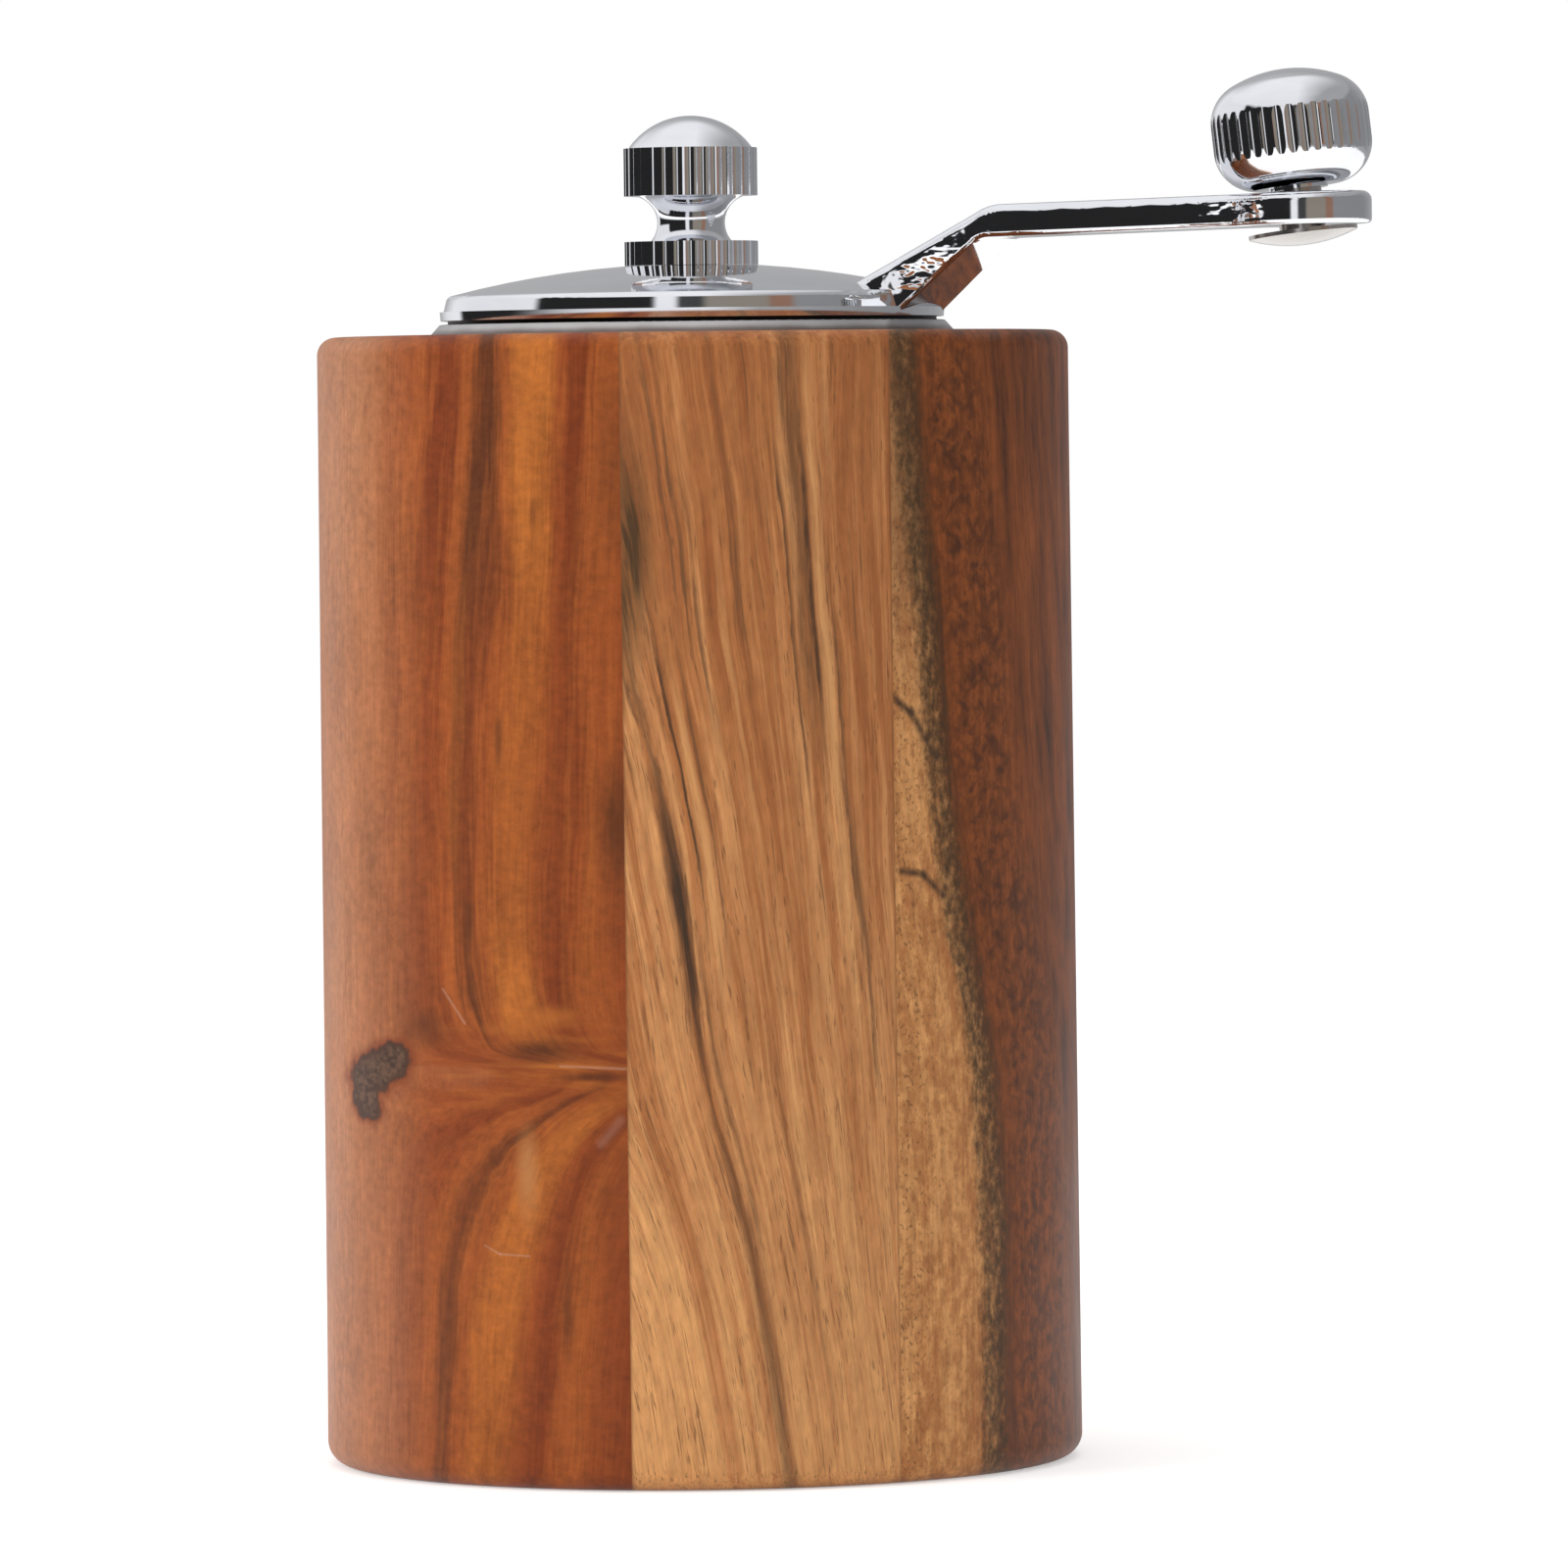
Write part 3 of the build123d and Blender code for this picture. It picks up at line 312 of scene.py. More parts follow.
class Surface(Nodes):
    """A material, with calls for its place, relief and finish."""

    def __init__(self, name):
        self.material = bpy.data.materials.new(name)
        self.material.use_nodes = True
        super().__init__(self.material.node_tree)
        self.shader = self.tree.nodes["Principled BSDF"]

    def place(self, turn=0.0):
        """Place on the object in millimetres, in a frame turned about the axis by so many degrees."""
        return self.turned(self.node("TexCoord").outputs["Object"], turn, MILLIMETRES)

    def bump(self, height, distance, strength=1.0):
        """Relief of a height, which counts in distances of so many metres."""
        made = self.node("Bump")
        self.feed(made.inputs["Height"], height)
        made.inputs["Distance"].default_value = distance
        made.inputs["Strength"].default_value = strength
        self.feed(self.shader.inputs["Normal"], made.outputs["Normal"])

    def finish(self, **values):
        """Sets the shader's sockets by their names, and gives the material."""
        for name, value in values.items():
            socket = name.replace("_", " ").title().replace("Ior", "IOR")
            self.feed(self.shader.inputs[socket], value)
        return self.material


def stroke(across, up, start, end, reach):
    """1 on a line from start to end on the boards' face, falling to 0 at a reach from it."""
    run = Vector(end) - Vector(start)
    along = ((across - start[0]) * run.x + (up - start[1]) * run.y) / run.length_squared
    along = along.at_least(0).at_most(1)
    aside = across - start[0] - along * run.x
    above = up - start[1] - along * run.y
    return 1 - (aside * aside + above * above).root().step(0, reach)


def patch(across, up, centre, reach):
    """1 at a centre on the boards' face, falling to 0 at one reach across it and another up from it."""
    aside = (across - centre[0]) / reach[0]
    above = (up - centre[1]) / reach[1]
    return 1 - (aside * aside + above * above).root().step(0, 1)


def board(name):
    """A board's surface, its place across, into and up, that place as a vector, and 1 on its front."""
    surface = Surface(name)
    across, into, up = surface.split(surface.place(BOARD_ANGLE))
    flat = surface.join(across, into, up)
    front = 1 - into.step(*FRONT_FADE)
    return surface, across, into, up, flat, front


def varnished(surface, colour, relief):
    """Thin satin varnish over wood, with the grain's relief just showing in it."""
    gloss = surface.noise(surface.place(), (3.0, 3.0, 9.0), seed=5.0)
    surface.bump(relief, GRAIN_RELIEF, strength=0.5)
    return surface.finish(
        base_color=colour,
        roughness=0.38 + gloss * 0.16,
        specular_ior_level=0.22,
        coat_weight=0.05,
        coat_roughness=0.25,
    )


def left_board():
    """Red-brown board with a knot, and grain that bends out to the branch that grew across it."""
    surface, across, into, up, flat, front = board("wood_left")

    above = up - BRANCH_HEIGHT
    below = above.step(2, -2)
    gentle = abs(above).decay(4.0 + 7.0 * below) * (2.6 + 5.4 * below)
    sharp = abs(above).decay(2.2) * (3.4 + 7.6 * below)
    bend = (gentle + sharp) * across.step(-30, -14) * front
    beside = across - KNOT_ACROSS
    over = up - KNOT_UP
    knot_area = KNOT_RADIUS**2
    parting = beside * knot_area / (beside * beside + over * over + knot_area) * front
    sway = surface.noise(flat, (7.0, 7.0, 26.0), seed=1.0, detail=3.0)
    flow = across + (91 - up) * 0.055 + (into + 30) * 0.06 - bend - parting * 1.4 + (sway - 0.5) * 3.0
    grain = surface.join(flow, into, up)

    fade = surface.noise(grain, (1.1, 6.0, 30.0), seed=2.0, detail=5.0, roughness=0.65)
    bands = surface.bands(
        flow + (fade - 0.5) * (5.0 - 2.2 * below),
        [
            # The palest stops, at the left edge, are painted sheen
            (-36.0, AMBER_SHEEN),
            (-28.0, AMBER_SHEEN),
            (-25.4, AMBER),
            (-24.6, RED_BROWN),
            (-23.6, AMBER),
            (-22.3, RED_DEEP),
            (-21.2, RED_DEEP),
            (-20.0, AMBER),
            (-19.2, AMBER),
            (-18.3, UMBER),
            (-17.7, UMBER),
            (-16.6, AMBER),
            (-15.2, GOLD),
            (-12.8, GOLD),
            (-11.5, RED_BROWN),
            (-10.5, RED_DEEP),
            (-9.9, RED_DEEP),
            (-8.9, AMBER),
            (-7.0, AMBER),
            (-5.0, RED_BROWN),
            (-3.0, RED_DEEP),
        ],
    )
    plain = surface.bands(fade, [(0.25, RED_DEEP), (0.45, RED_BROWN), (0.60, AMBER), (0.78, GOLD)])
    cloud = surface.noise(grain, (3.0, 7.0, 14.0), seed=3.0, detail=4.0, roughness=0.6)
    strength = (0.35 + cloud * 1.1).at_most(1) - up.between(40, 84, 16) * 0.48 - below * 0.20
    colour = surface.mix(strength, plain, bands)
    # Painted sheen: the left edge is made paler, standing in for the varnish's glancing reflection
    sheen_edge = across.step(-22, -31) * front
    colour = surface.mix(sheen_edge * 0.75, colour, AMBER_SHEEN)
    fine = surface.noise(grain, (0.34, 0.34, 12.0), seed=4.0, detail=5.0, roughness=0.7)
    mottle = surface.noise(flat, (1.1, 1.1, 0.8), seed=5.0, detail=4.0, roughness=0.65)
    colour = surface.shade(colour, cloud * 0.66 + fine * 0.84 + mottle * 0.90 - 0.20)

    ripple = surface.noise(flat, (8.0, 8.0, 1.1), seed=6.0, detail=4.0, roughness=0.6)
    branch = above.pulse(0.4, 6.0) * across.step(-26, -20) * front
    ripples = surface.bands(ripple, [(0.34, RED_DEEP), (0.50, RED_BROWN), (0.70, GOLD)])
    colour = surface.mix(branch * 0.6, colour, ripples)
    ragged = surface.noise(grain, (1.0, 1.8, 2.4), seed=9.0, detail=4.0, roughness=0.65)
    patches = [
        ((-13.6, 37.7), (4.6, 1.7), 1.00, UMBER),
        ((-9.0, 35.5), (4.5, 0.6), 0.90, UMBER),
        ((-11.5, 36.35), (6.5, 0.30), 0.90, GOLD),
        ((-12.6, 40.6), (3.2, 1.5), 0.80, GOLD),
        ((-16.8, 39.5), (3.0, 0.9), 0.60, GOLD),
        ((-24.0, 39.2), (3.6, 2.4), 0.60, UMBER),
        ((-6.6, 57.0), (3.4, 8.5), 0.90, UMBER),
        ((-13.8, 83.5), (0.5, 2.8), 0.45, UMBER),
        ((-17.0, 64.5), (0.7, 4.6), 0.55, UMBER),
        ((-19.7, 48.5), (0.6, 2.6), 0.65, UMBER),
        ((-14.9, 27.0), (1.5, 6.0), 0.75, SAP),
        ((-11.6, 15.0), (0.8, 7.0), 0.70, UMBER),
        ((-7.0, 88.0), (2.6, 12.0), 0.40, UMBER),
        ((-7.0, 24.0), (2.8, 20.0), 0.45, RED_DEEP),
    ]
    for centre, reach, weight, tone in patches:
        spot = patch(across, up, centre, reach) * (0.2 + ragged * 1.6)
        colour = surface.mix(spot.at_most(1) * front * weight, colour, tone)
    scratches = [
        ((-12.0, 36.4), (-6.4, 36.2), 0.20, 0.35),
        ((-8.6, 29.8), (-6.9, 31.8), 0.7, 0.18),
        ((-22.1, 42.8), (-20.2, 39.9), 0.18, 0.35),
        ((-18.7, 20.9), (-17.4, 20.2), 0.16, 0.35),
        ((-17.4, 20.2), (-14.9, 20.1), 0.16, 0.35),
    ]
    for start, end, reach, weight in scratches:
        scratch = stroke(across, up, start, end, reach) * (0.2 + ragged * 1.6)
        colour = surface.mix(scratch.at_most(1) * front * weight, colour, SCRATCH)

    wobble = surface.noise(flat, 1.3, seed=7.0, detail=3.0)
    slanted = stroke(across, up, (-28.9, 34.8), (-26.6, 36.5), 3.2)
    pit = stroke(across, up, (-29.1, 33.2), (-28.8, 32.2), 2.2)
    knot = slanted.at_least(pit) + (wobble - 0.5) * 0.60
    core = surface.noise(flat, (0.9, 0.9, 0.5), seed=8.0, detail=3.0)
    colour = surface.mix(knot.step(0.05, 0.50) * front * 0.8, colour, RED_DEEP)
    colour = surface.mix(knot.step(0.38, 0.56) * front * 0.9, colour, KNOT_DARK)
    heart = surface.bands(core, [(0.40, KNOT_DARK), (0.62, KNOT_CORE)])
    colour = surface.mix(knot.step(0.52, 0.84) * front * 0.85, colour, heart)
    return varnished(surface, colour, fine)


def middle_board():
    """Tan board with leaning grain between two dark veins, open pores, and a redder top."""
    surface, across, into, up, flat, front = board("wood_middle")
    first_vein = surface.path(
        up,
        [
            (0.0, 7.4),
            (10.0, 6.0),
            (22.6, 3.6),
            (35.2, 0.5),
            (47.8, -1.4),
            (60.4, -3.5),
            (71.0, -5.8),
            (99.0, -10.5),
        ],
    )
    second_vein = surface.path(up, [(0.0, 18.0), (30.0, 14.6), (52.0, 12.8), (77.0, 10.6), (99.0, 9.2)])
    sway = surface.noise(flat, (6.0, 6.0, 22.0), seed=11.0, detail=2.0)
    flow = (across - first_vein) / (second_vein - first_vein) * 14 + (sway - 0.5) * 1.5
    flow = flow + (into + 30) * 0.06
    grain = surface.join(flow, into, up)
    ragged = surface.noise(grain, (0.35, 0.35, 5.0), seed=12.0, detail=4.0, roughness=0.65)

    broad = surface.noise(grain, (1.3, 5.0, 50.0), seed=13.0, detail=4.0, roughness=0.6)
    hair = surface.noise(grain, (0.42, 0.42, 18.0), seed=18.0, detail=3.0, roughness=0.6)
    height = up / BODY_HEIGHT
    redness = flow.pulse(9.0, 4.5) * 0.10 + flow.step(13, 18) * 0.06
    colour = surface.bands(
        broad * 1.3 + hair * 0.6 - height * 0.42 - redness * up.step(30, 75) - 0.22,
        [(0.12, TAN_RED), (0.36, TAN_BROWN), (0.56, TAN), (0.78, TAN_PALE)],
    )
    fine = surface.noise(grain, (0.26, 0.26, 9.0), seed=14.0, detail=5.0, roughness=0.7)
    mottle = surface.noise(flat, (0.8, 0.8, 2.0), seed=19.0, detail=4.0, roughness=0.6)
    colour = surface.shade(colour, 0.26 + fine * 0.90 + mottle * 0.60)
    crowd = surface.noise(grain, (2.5, 5.0, 14.0), seed=16.0, detail=2.0)
    threads = surface.noise(grain, (0.30, 0.30, 13.0), seed=17.0, detail=2.0)
    threads = (threads + (crowd - 0.5) * 0.20).step(0.61, 0.74)
    colour = surface.mix(threads * 0.62, colour, VEIN_BROWN)
    pores = surface.noise(grain, (0.20, 0.20, 2.0), seed=15.0, detail=2.0)
    pores = (pores + (crowd - 0.5) * 0.14 - height * 0.04).step(0.60, 0.70)
    colour = surface.mix(pores * 0.60, colour, VEIN_BROWN)

    wander = flow + (ragged - 0.5) * 1.5
    dark = up.pulse(49, 17)
    smoky = up.step(36, 12)
    vein = (1 - abs(wander).step(0, 0.50 + dark * 0.75 + smoky * 1.0)) * up.step(80, 66)
    colour = surface.mix((vein * (0.55 + dark * 0.50)).at_most(1) * front, colour, VEIN_DARK)
    lines = [
        (1.2, 0.40, 14, 52, 0.70, VEIN_BROWN),
        (2.0, 0.24, 44, 78, 0.90, VEIN_DARK),
        (2.8, 0.55, 44, 72, 0.85, TAN_PALE),
        (3.5, 0.24, 42, 76, 0.80, VEIN_BROWN),
        (3.9, 0.20, 70, 104, 0.75, VEIN_BROWN),
        (4.6, 0.22, 66, 99, 0.80, VEIN_BROWN),
        (5.3, 0.20, 62, 92, 0.70, VEIN_BROWN),
        (5.7, 0.50, 0, 44, 0.40, VEIN_BROWN),
        (7.1, 0.35, 46, 86, 0.50, TAN_PALE),
        (8.3, 0.30, 62, 110, 0.55, VEIN_BROWN),
        (10.3, 0.60, -12, 50, 0.35, TAN_PALE),
        (11.7, 0.24, 54, 96, 0.95, VEIN_BROWN),
        (12.9, 1.20, 56, 112, 0.75, VEIN_BROWN),
        (13.4, 0.28, 60, 96, 0.80, VEIN_DARK),
        (14.1, 0.32, 46, 104, 0.85, TAN_PALE),
        (14.7, 0.24, 40, 84, 0.85, VEIN_BROWN),
        (15.0, 0.30, 30, 62, 0.80, VEIN_BROWN),
        (16.6, 0.30, 34, 110, 0.45, TAN_RED),
        (17.8, 0.35, 14, 96, 0.45, TAN_RED),
    ]
    for centre, reach, low, high, strength, tone in lines:
        line = (flow + (ragged - 0.5) * 0.7).pulse(centre, reach) * up.between(low, high, (high - low) / 3)
        line = (line * (ragged * 2.8 - 0.4)).at_least(0).at_most(1)
        colour = surface.mix(line * strength * front, colour, tone)
    smoke = patch(across, up, (-6.4, 80.0), (4.0, 15.0)) * (hair * 3.0 - 0.5)
    colour = surface.mix(smoke.at_least(0).at_most(1) * front * 0.95, colour, OLIVE)
    seam = across.pulse(LEFT_SEAM, SEAM_REACH).at_least(across.pulse(RIGHT_SEAM, SEAM_REACH))
    colour = surface.mix(seam * 0.5, colour, VEIN_BROWN)
    return varnished(surface, colour, fine - pores * 0.6)


def right_board():
    """Board with speckled sapwood on its left, a dark line, and flecked heartwood."""
    surface, across, into, up, flat, front = board("wood_right")
    boundary = surface.path(
        up,
        [
            (0.0, 24.7),
            (10.3, 24.8),
            (22.8, 24.7),
            (32.8, 24.2),
            (40.4, 23.3),
            (50.0, 21.8),
            (62.9, 20.4),
            (74.6, 19.7),
            (86.3, 18.7),
            (99.0, 17.9),
        ],
    )
    sway = surface.noise(flat, (7.0, 7.0, 16.0), seed=21.0, detail=3.0)
    flow = across - boundary - (into + 26) * 0.05 + (sway - 0.5) * 0.9
    grain = surface.join(flow, into, up)
    speckle = surface.noise(flat, (0.62, 0.62, 0.95), seed=22.0, detail=4.0, roughness=0.65)
    mottle = surface.noise(flat, (0.9, 0.9, 1.4), seed=28.0, detail=3.0, roughness=0.6)
    dots = surface.noise(flat, (0.30, 0.30, 0.40), seed=29.0, detail=1.0)

    sap_tone = surface.noise(grain, (1.2, 5.0, 12.0), seed=23.0, detail=4.0, roughness=0.6)
    sapwood = surface.bands(
        sap_tone * 0.6 + mottle * 0.5 - 0.05,
        [(0.34, TAN_BROWN), (0.46, SAP), (0.56, SAP_PALE), (0.70, TAN_PALE)],
    )
    sapwood = surface.mix(dots.step(0.56, 0.72) * (0.30 + 0.4 * across.step(21, 17)), sapwood, VEIN_BROWN)
    sapwood = surface.mix(up.step(64, 86) * 0.6, sapwood, VEIN_BROWN)

    heart_tone = surface.noise(grain, (1.0, 3.0, 24.0), seed=24.0, detail=5.0, roughness=0.65)
    heartwood = surface.bands(heart_tone, [(0.30, HEART_DARK), (0.46, HEART), (0.66, HEART_LIGHT)])
    twist = surface.noise(flat, 2.6, seed=25.0, detail=2.0)
    fleck = mottle.step(0.60, 0.78)
    for lean, seed in FLECK_LEANS:
        slant = math.radians(lean)
        along = across * math.cos(slant) + up * math.sin(slant)
        beside = up * math.cos(slant) - across * math.sin(slant) + (twist - 0.5) * 1.4
        dashes = surface.noise(surface.join(along, into, beside), (1.8, 1.8, 0.80), seed=seed, detail=3.0)
        fleck = fleck.at_least(dashes.step(0.46, 0.74))
    flecked = flow.between(0.4, 7.5, 2.4)
    warm = surface.mix(mottle.step(0.40, 0.62), HEART, HEART_LIGHT)
    heartwood = surface.mix(flecked * 0.7, heartwood, warm)
    heartwood = surface.mix(fleck * (flecked + 0.15) * 0.70, heartwood, HEART_DARK)

    colour = surface.mix((flow + (speckle - 0.5) * 1.8).step(-0.3, 1.0), sapwood, heartwood)
    band = flow.between(-1.9, 2.1, 1.5)
    dusk = (band * 0.9 + (speckle - 0.5) * 2.0).step(0.0, 1.3) * band.step(0, 0.5)
    colour = surface.mix(dusk * 0.95, colour, OLIVE)
    marks = [
        ((16.7, 67.6), (18.3, 66.2), 0.60),
        ((18.3, 66.2), (20.4, 62.4), 0.55),
        ((17.4, 52.6), (19.2, 52.3), 0.55),
        ((19.2, 52.3), (20.9, 50.4), 0.50),
    ]
    for start, end, reach in marks:
        mark = stroke(across, up, start, end, reach) * (0.3 + speckle * 1.2)
        colour = surface.mix(mark.at_most(1) * front * 0.9, colour, VEIN_DARK)
    fine = surface.noise(grain, (0.34, 0.34, 9.0), seed=27.0, detail=5.0, roughness=0.65)
    colour = surface.shade(colour, 0.30 + fine * 0.95 + mottle * 0.45)
    return varnished(surface, colour, fine)


def chrome():
    """Bright plating over a casting, with faint wiping marks, a wavy arm, and painted shade in the recess
    below the lid.
    """
    surface = Surface("chrome")
    place = surface.place()
    along, _, up = surface.split(place)
    wipe = surface.noise(place, (6.0, 6.0, 1.5), seed=31.0, detail=3.0)
    wave = surface.noise(place, (5.0, 5.0, 3.0), seed=32.0, detail=3.0, roughness=0.6)
    tilt = abs(surface.split(surface.node("TexCoord").outputs["Normal"])[2])
    arm = along.step(*ARM_START) * along.step(*ARM_END) * up.between(*ARM_HEIGHTS, soft=1.0)
    side = arm * tilt.step(*ARM_SIDES)
    rough = 0.25 + along.step(34, 26) * 2.6 + along.step(46, 49) * 3.0
    ramp_draft = along.between(*RAMP_SPAN, soft=3.0) * (up - RAMP_HEIGHT)
    boss_draft = along.between(*BOSS_SPAN, soft=2.0) * (up - BOSS_HEIGHT)
    surface.bump((wave * rough + (ramp_draft + boss_draft) * DRAFT) * side, CASTING_RELIEF)
    plating = surface.bands(wipe, [(0.3, PLATING_DULL), (0.7, PLATING_BRIGHT)])
    # Painted shade: the recess under the lid's lip is made near-black
    recess_shade = up.between(*LID_RECESS, soft=RECESS_EDGE)
    return surface.finish(
        base_color=surface.mix(recess_shade, plating, RECESS_SHADE),
        metallic=1.0,
        roughness=0.03 + wipe * 0.04 + recess_shade * 0.4,
    )


def darker(colour, part):
    """A colour with only a part of its brightness."""
    return [part * channel for channel in colour[:3]] + [1]


def turned_metal(name, colour, roughness, ring_size, wood_reflection=None):
    """Metal with fine turning marks, which run round the axis, and a painted reflection of the brown wood up
    to a height if one is given.
    """
    surface = Surface(name)
    across, into, up = surface.split(surface.place())
    radius = (across * across + into * into).root()
    rings = surface.noise(surface.join(radius, 0.0, up), (ring_size, 1.0, ring_size), seed=41.0, detail=3.0)
    cloud = surface.noise(surface.place(), 4.0, seed=42.0, detail=3.0)
    surface.bump(rings, TOOL_RELIEF, strength=0.5)
    tone = surface.bands(rings * 0.6 + cloud * 0.4, [(0.3, darker(colour, 0.72)), (0.7, colour)])
    if wood_reflection:
        full, none = wood_reflection
        # Painted reflection: brown towards the foot, standing in for the wood that the metal mirrors
        reflected = (up + (cloud - 0.5) * 0.3).step(none, full)
        tone = surface.mix(reflected * 0.85, tone, WOOD_REFLECTION_BROWN)
    return surface.finish(base_color=tone, metallic=1.0, roughness=roughness + (cloud - 0.5) * 0.15)


def brushed_metal(name, colour, roughness, mark_size):
    """Metal with short brushing marks, of one size or of a size along each axis."""
    surface = Surface(name)
    marks = surface.noise(surface.place(), mark_size, seed=51.0, detail=4.0, roughness=0.6)
    cloud = surface.noise(surface.place(), 5.0, seed=52.0, detail=2.0)
    surface.bump(marks, TOOL_RELIEF, strength=0.4)
    tone = surface.bands(marks * 0.5 + cloud * 0.5, [(0.3, darker(colour, 0.75)), (0.7, colour)])
    return surface.finish(base_color=tone, metallic=1.0, roughness=roughness + (marks - 0.5) * 0.2)


def moulded(name, colour, roughness, grain_size):
    """Plastic or ceramic with a fine moulded grain and slight mottling."""
    surface = Surface(name)
    grain = surface.noise(surface.place(), grain_size, seed=61.0, detail=3.0)
    cloud = surface.noise(surface.place(), 6.0, seed=62.0, detail=3.0)
    surface.bump(grain, MOULD_RELIEF, strength=0.5)
    tone = surface.bands(grain * 0.5 + cloud * 0.5, [(0.3, darker(colour, 0.78)), (0.7, colour)])
    return surface.finish(base_color=tone, roughness=roughness + (grain - 0.5) * 0.12)


def dress():
    """Gives each CAD node its material."""
    bright = chrome()
    middle = middle_board()
    steel = brushed_metal("shaft_steel", SHAFT_STEEL, roughness=0.32, mark_size=(0.3, 0.3, 8.0))
    ceramic = moulded("burr_ceramic", CERAMIC, roughness=0.5, grain_size=0.25)
    nylon = moulded("washer_nylon", NYLON, roughness=0.42, grain_size=0.4)
    materials = {
        "board_left": left_board(),
        "board_front": middle,
        "board_back": middle,
        "board_right": right_board(),
        "top_collar": turned_metal(
            "collar_metal", COLLAR_GREY, roughness=0.30, ring_size=0.10, wood_reflection=COLLAR_WOOD_REFLECTION
        ),
        "lid_and_arm": bright,
        "adjusting_nut": bright,
        "handle_knob": bright,
        "handle_pin": brushed_metal("pin_metal", NICKEL, roughness=0.24, mark_size=(6.0, 0.25, 6.0)),
        "drive_shaft": steel,
        "burr_washer": steel,
        "spring_seat": nylon,
        "drive_bush": turned_metal("bush_brass", BRASS, roughness=0.30, ring_size=0.12),
        "thrust_washer": nylon,
        "burr_carrier": moulded("carrier_plastic", PLASTIC_BLACK, roughness=0.46, grain_size=0.22),
        "outer_burr": ceramic,
        "inner_burr": ceramic,
        "burr_screw": turned_metal("screw_steel", SCREW_STEEL, roughness=0.30, ring_size=0.10),
        "burr_spring": brushed_metal("spring_steel", SPRING_STEEL, roughness=0.28, mark_size=0.5),
        "retaining_ring": turned_metal("ring_steel", RING_STEEL, roughness=0.30, ring_size=0.14),
        "ring_screws": brushed_metal("ring_screw_steel", SCREW_STEEL, roughness=0.30, mark_size=0.4),
    }
    for node, material in materials.items():
        for slot in frame["nodes"][node].material_slots:
            slot.material = material


def floor():
    """A wide white floor, which keeps the mill's soft shadow.

    Metal mirrors only the part near the mill, and from below the floor is clear.
    """
    mesh = bpy.data.meshes.new("floor")
    sides = ((-1, -1), (1, -1), (1, 1), (-1, 1))
    corners = [(x * FLOOR_REACH, y * FLOOR_REACH, FLOOR_HEIGHT) for x, y in sides]
    mesh.from_pydata(corners, [], [(0, 1, 2, 3)])
    made = bpy.data.objects.new("floor", mesh)
    bpy.context.scene.collection.objects.link(made)
    surface = Surface("floor")
    surface.finish(base_color=FLOOR_WHITE, roughness=0.9)
    rays = surface.node("LightPath")
    seen = surface.math("MAXIMUM", rays.outputs["Is Camera Ray"], rays.outputs["Is Glossy Ray"])
    glow = surface.node("Emission")
    surface.feed(glow.inputs["Strength"], seen * FLOOR_GLOW)
    both = surface.node("AddShader")
    surface.feed(both.inputs[0], surface.shader.outputs["BSDF"])
    surface.feed(both.inputs[1], glow.outputs["Emission"])
    along, aside, _ = surface.split(surface.node("TexCoord").outputs["Object"])
    far = (along * along + aside * aside).root().step(FLOOR_MIRRORED, FLOOR_MIRRORED + FLOOR_FADE)
    below = surface.node("NewGeometry").outputs["Backfacing"]
    shown = surface.node("MixShader")
    surface.feed(shown.inputs[0], (far * rays.outputs["Is Glossy Ray"]).at_least(below))
    surface.feed(shown.inputs[1], both.outputs["Shader"])
    surface.feed(shown.inputs[2], surface.node("BsdfTransparent").outputs["BSDF"])
    surface.feed(surface.tree.nodes["Material Output"].inputs["Surface"], shown.outputs["Shader"])
    mesh.materials.append(surface.material)


def grey(level):
    """A grey that is a little blue."""
    return (level, level, level * BLUENESS, 1)


def studio(sky):
    """What polished metal sees: a pale studio, dark gear round the camera, and grey on the right."""
    right, away, up = sky.split(sky.turned(sky.node("TexCoord").outputs["Generated"], CAMERA_AZIMUTH))
    bearing = sky.math("ARCTAN2", right, away * -1) * (180 / math.pi)  # to the right of the camera
    level = sky.bands(
        bearing,
        [
            (-180, grey(0.43)),
            (-165, grey(0.50)),
            (-150, grey(0.85)),
            (-134, grey(0.95)),
            (-130, grey(0.02)),
            (-20, grey(0.02)),
            (-17, grey(0.95)),
            (-9, grey(0.95)),
            (-6, grey(0.06)),
            (4, grey(0.06)),
            (8, TAUPE),
            (37, TAUPE),
            (40, RUST),
            (49, RUST),
            (53, grey(0.27)),
            (120, grey(0.27)),
            (150, grey(0.36)),
            (180, grey(0.43)),
        ],
    )
    front = sky.bands(right, [(-0.3, grey(0.95)), (0.1, grey(0.90)), (0.5, grey(0.40))])
    back = sky.bands(right, [(-0.6, grey(0.95)), (-0.2, grey(0.56)), (0.1, grey(0.45)), (0.6, grey(0.40))])
    overhead = sky.bands(right, [(0.1, grey(0.97)), (0.6, grey(0.40))])
    upper = sky.mix(away.step(-0.15, 0.15), front, back)
    upper = sky.mix(up.step(*CEILING), upper, overhead)
    window = bearing.between(*LEFT_WINDOW, soft=6.0) * up.step(*LEFT_WINDOW_FOOT)
    level = sky.mix(window, level, grey(0.90))
    return sky.mix(up.step(*WALL_FOOT).at_least(up.step(*WALL_TOP)), level, upper)


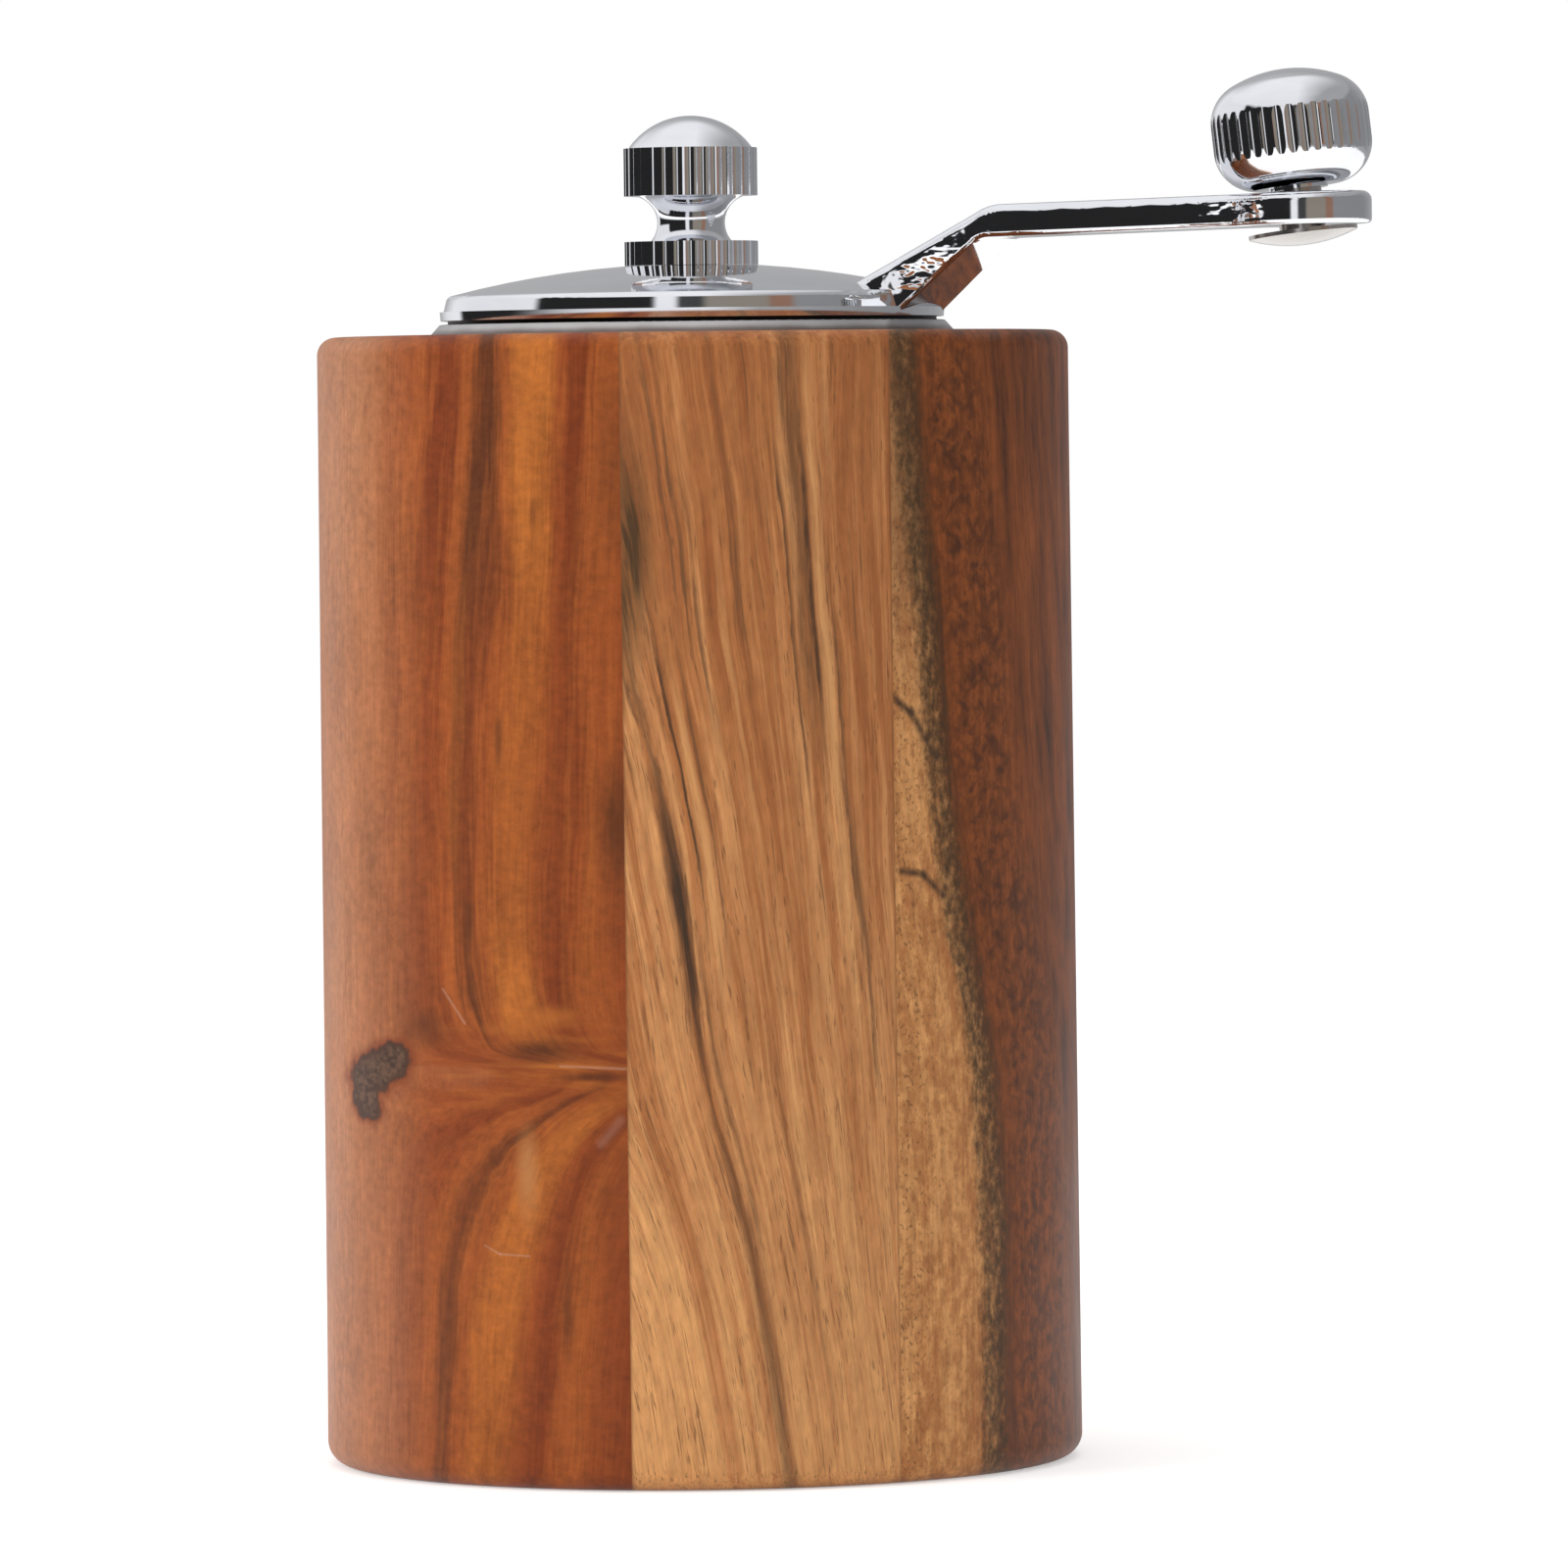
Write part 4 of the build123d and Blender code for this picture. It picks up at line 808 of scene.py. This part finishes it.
def world():
    """White to the camera, the studio to polished metal, and an even soft light to the rest."""
    made = bpy.data.worlds.new("studio")
    bpy.context.scene.world = made
    made.use_nodes = True
    sky = Nodes(made.node_tree)
    rays = sky.node("LightPath")
    colour = sky.mix(rays.outputs["Is Glossy Ray"], FILL, studio(sky))
    direct = sky.math("MAXIMUM", rays.outputs["Is Camera Ray"], rays.outputs["Is Transmission Ray"])
    colour = sky.mix(direct, colour, WHITE)
    sky.feed(sky.tree.nodes["Background"].inputs["Color"], colour)


def lamp(name, place, size, power):
    """A soft lamp that faces the mill and that metal doesn't mirror."""
    data = bpy.data.lights.new(name, "AREA")
    data.shape = "RECTANGLE"
    data.size, data.size_y = size
    data.energy = power
    made = bpy.data.objects.new(name, data)
    made.location = place
    made.rotation_euler = (Vector(LAMP_TARGET) - Vector(place)).to_track_quat("-Z", "Y").to_euler()
    made.visible_glossy = False
    bpy.context.scene.collection.objects.link(made)


def camera():
    """The camera that took the photograph, as near as it could be worked out."""
    azimuth = math.radians(CAMERA_AZIMUTH)
    data = bpy.data.cameras.new("camera")
    data.lens = CAMERA_LENS
    data.sensor_width = CAMERA_SENSOR
    data.clip_start = CAMERA_NEAREST
    made = bpy.data.objects.new("camera", data)
    turn = Matrix.Rotation(azimuth - math.radians(CAMERA_YAW), 4, "Z")
    tip = Matrix.Rotation(math.radians(90 - CAMERA_PITCH), 4, "X")
    roll = Matrix.Rotation(math.radians(-CAMERA_ROLL), 4, "Z")
    place = Vector((math.sin(azimuth), -math.cos(azimuth), 0)) * CAMERA_DISTANCE
    place.z = CAMERA_HEIGHT
    made.matrix_world = Matrix.Translation(place) @ turn @ tip @ roll
    bpy.context.scene.collection.objects.link(made)
    bpy.context.scene.camera = made


dress()
floor()
world()
lamp("left", place=(-0.75, -0.75, 0.45), size=(0.7, 0.8), power=6.0)
lamp("overhead", place=(0.0, 0.1, 1.0), size=(0.8, 0.8), power=2.0)
lamp("right", place=(0.9, -0.5, 0.4), size=(0.6, 0.8), power=0.6)
camera()
bpy.context.scene.view_settings.view_transform = "Standard"
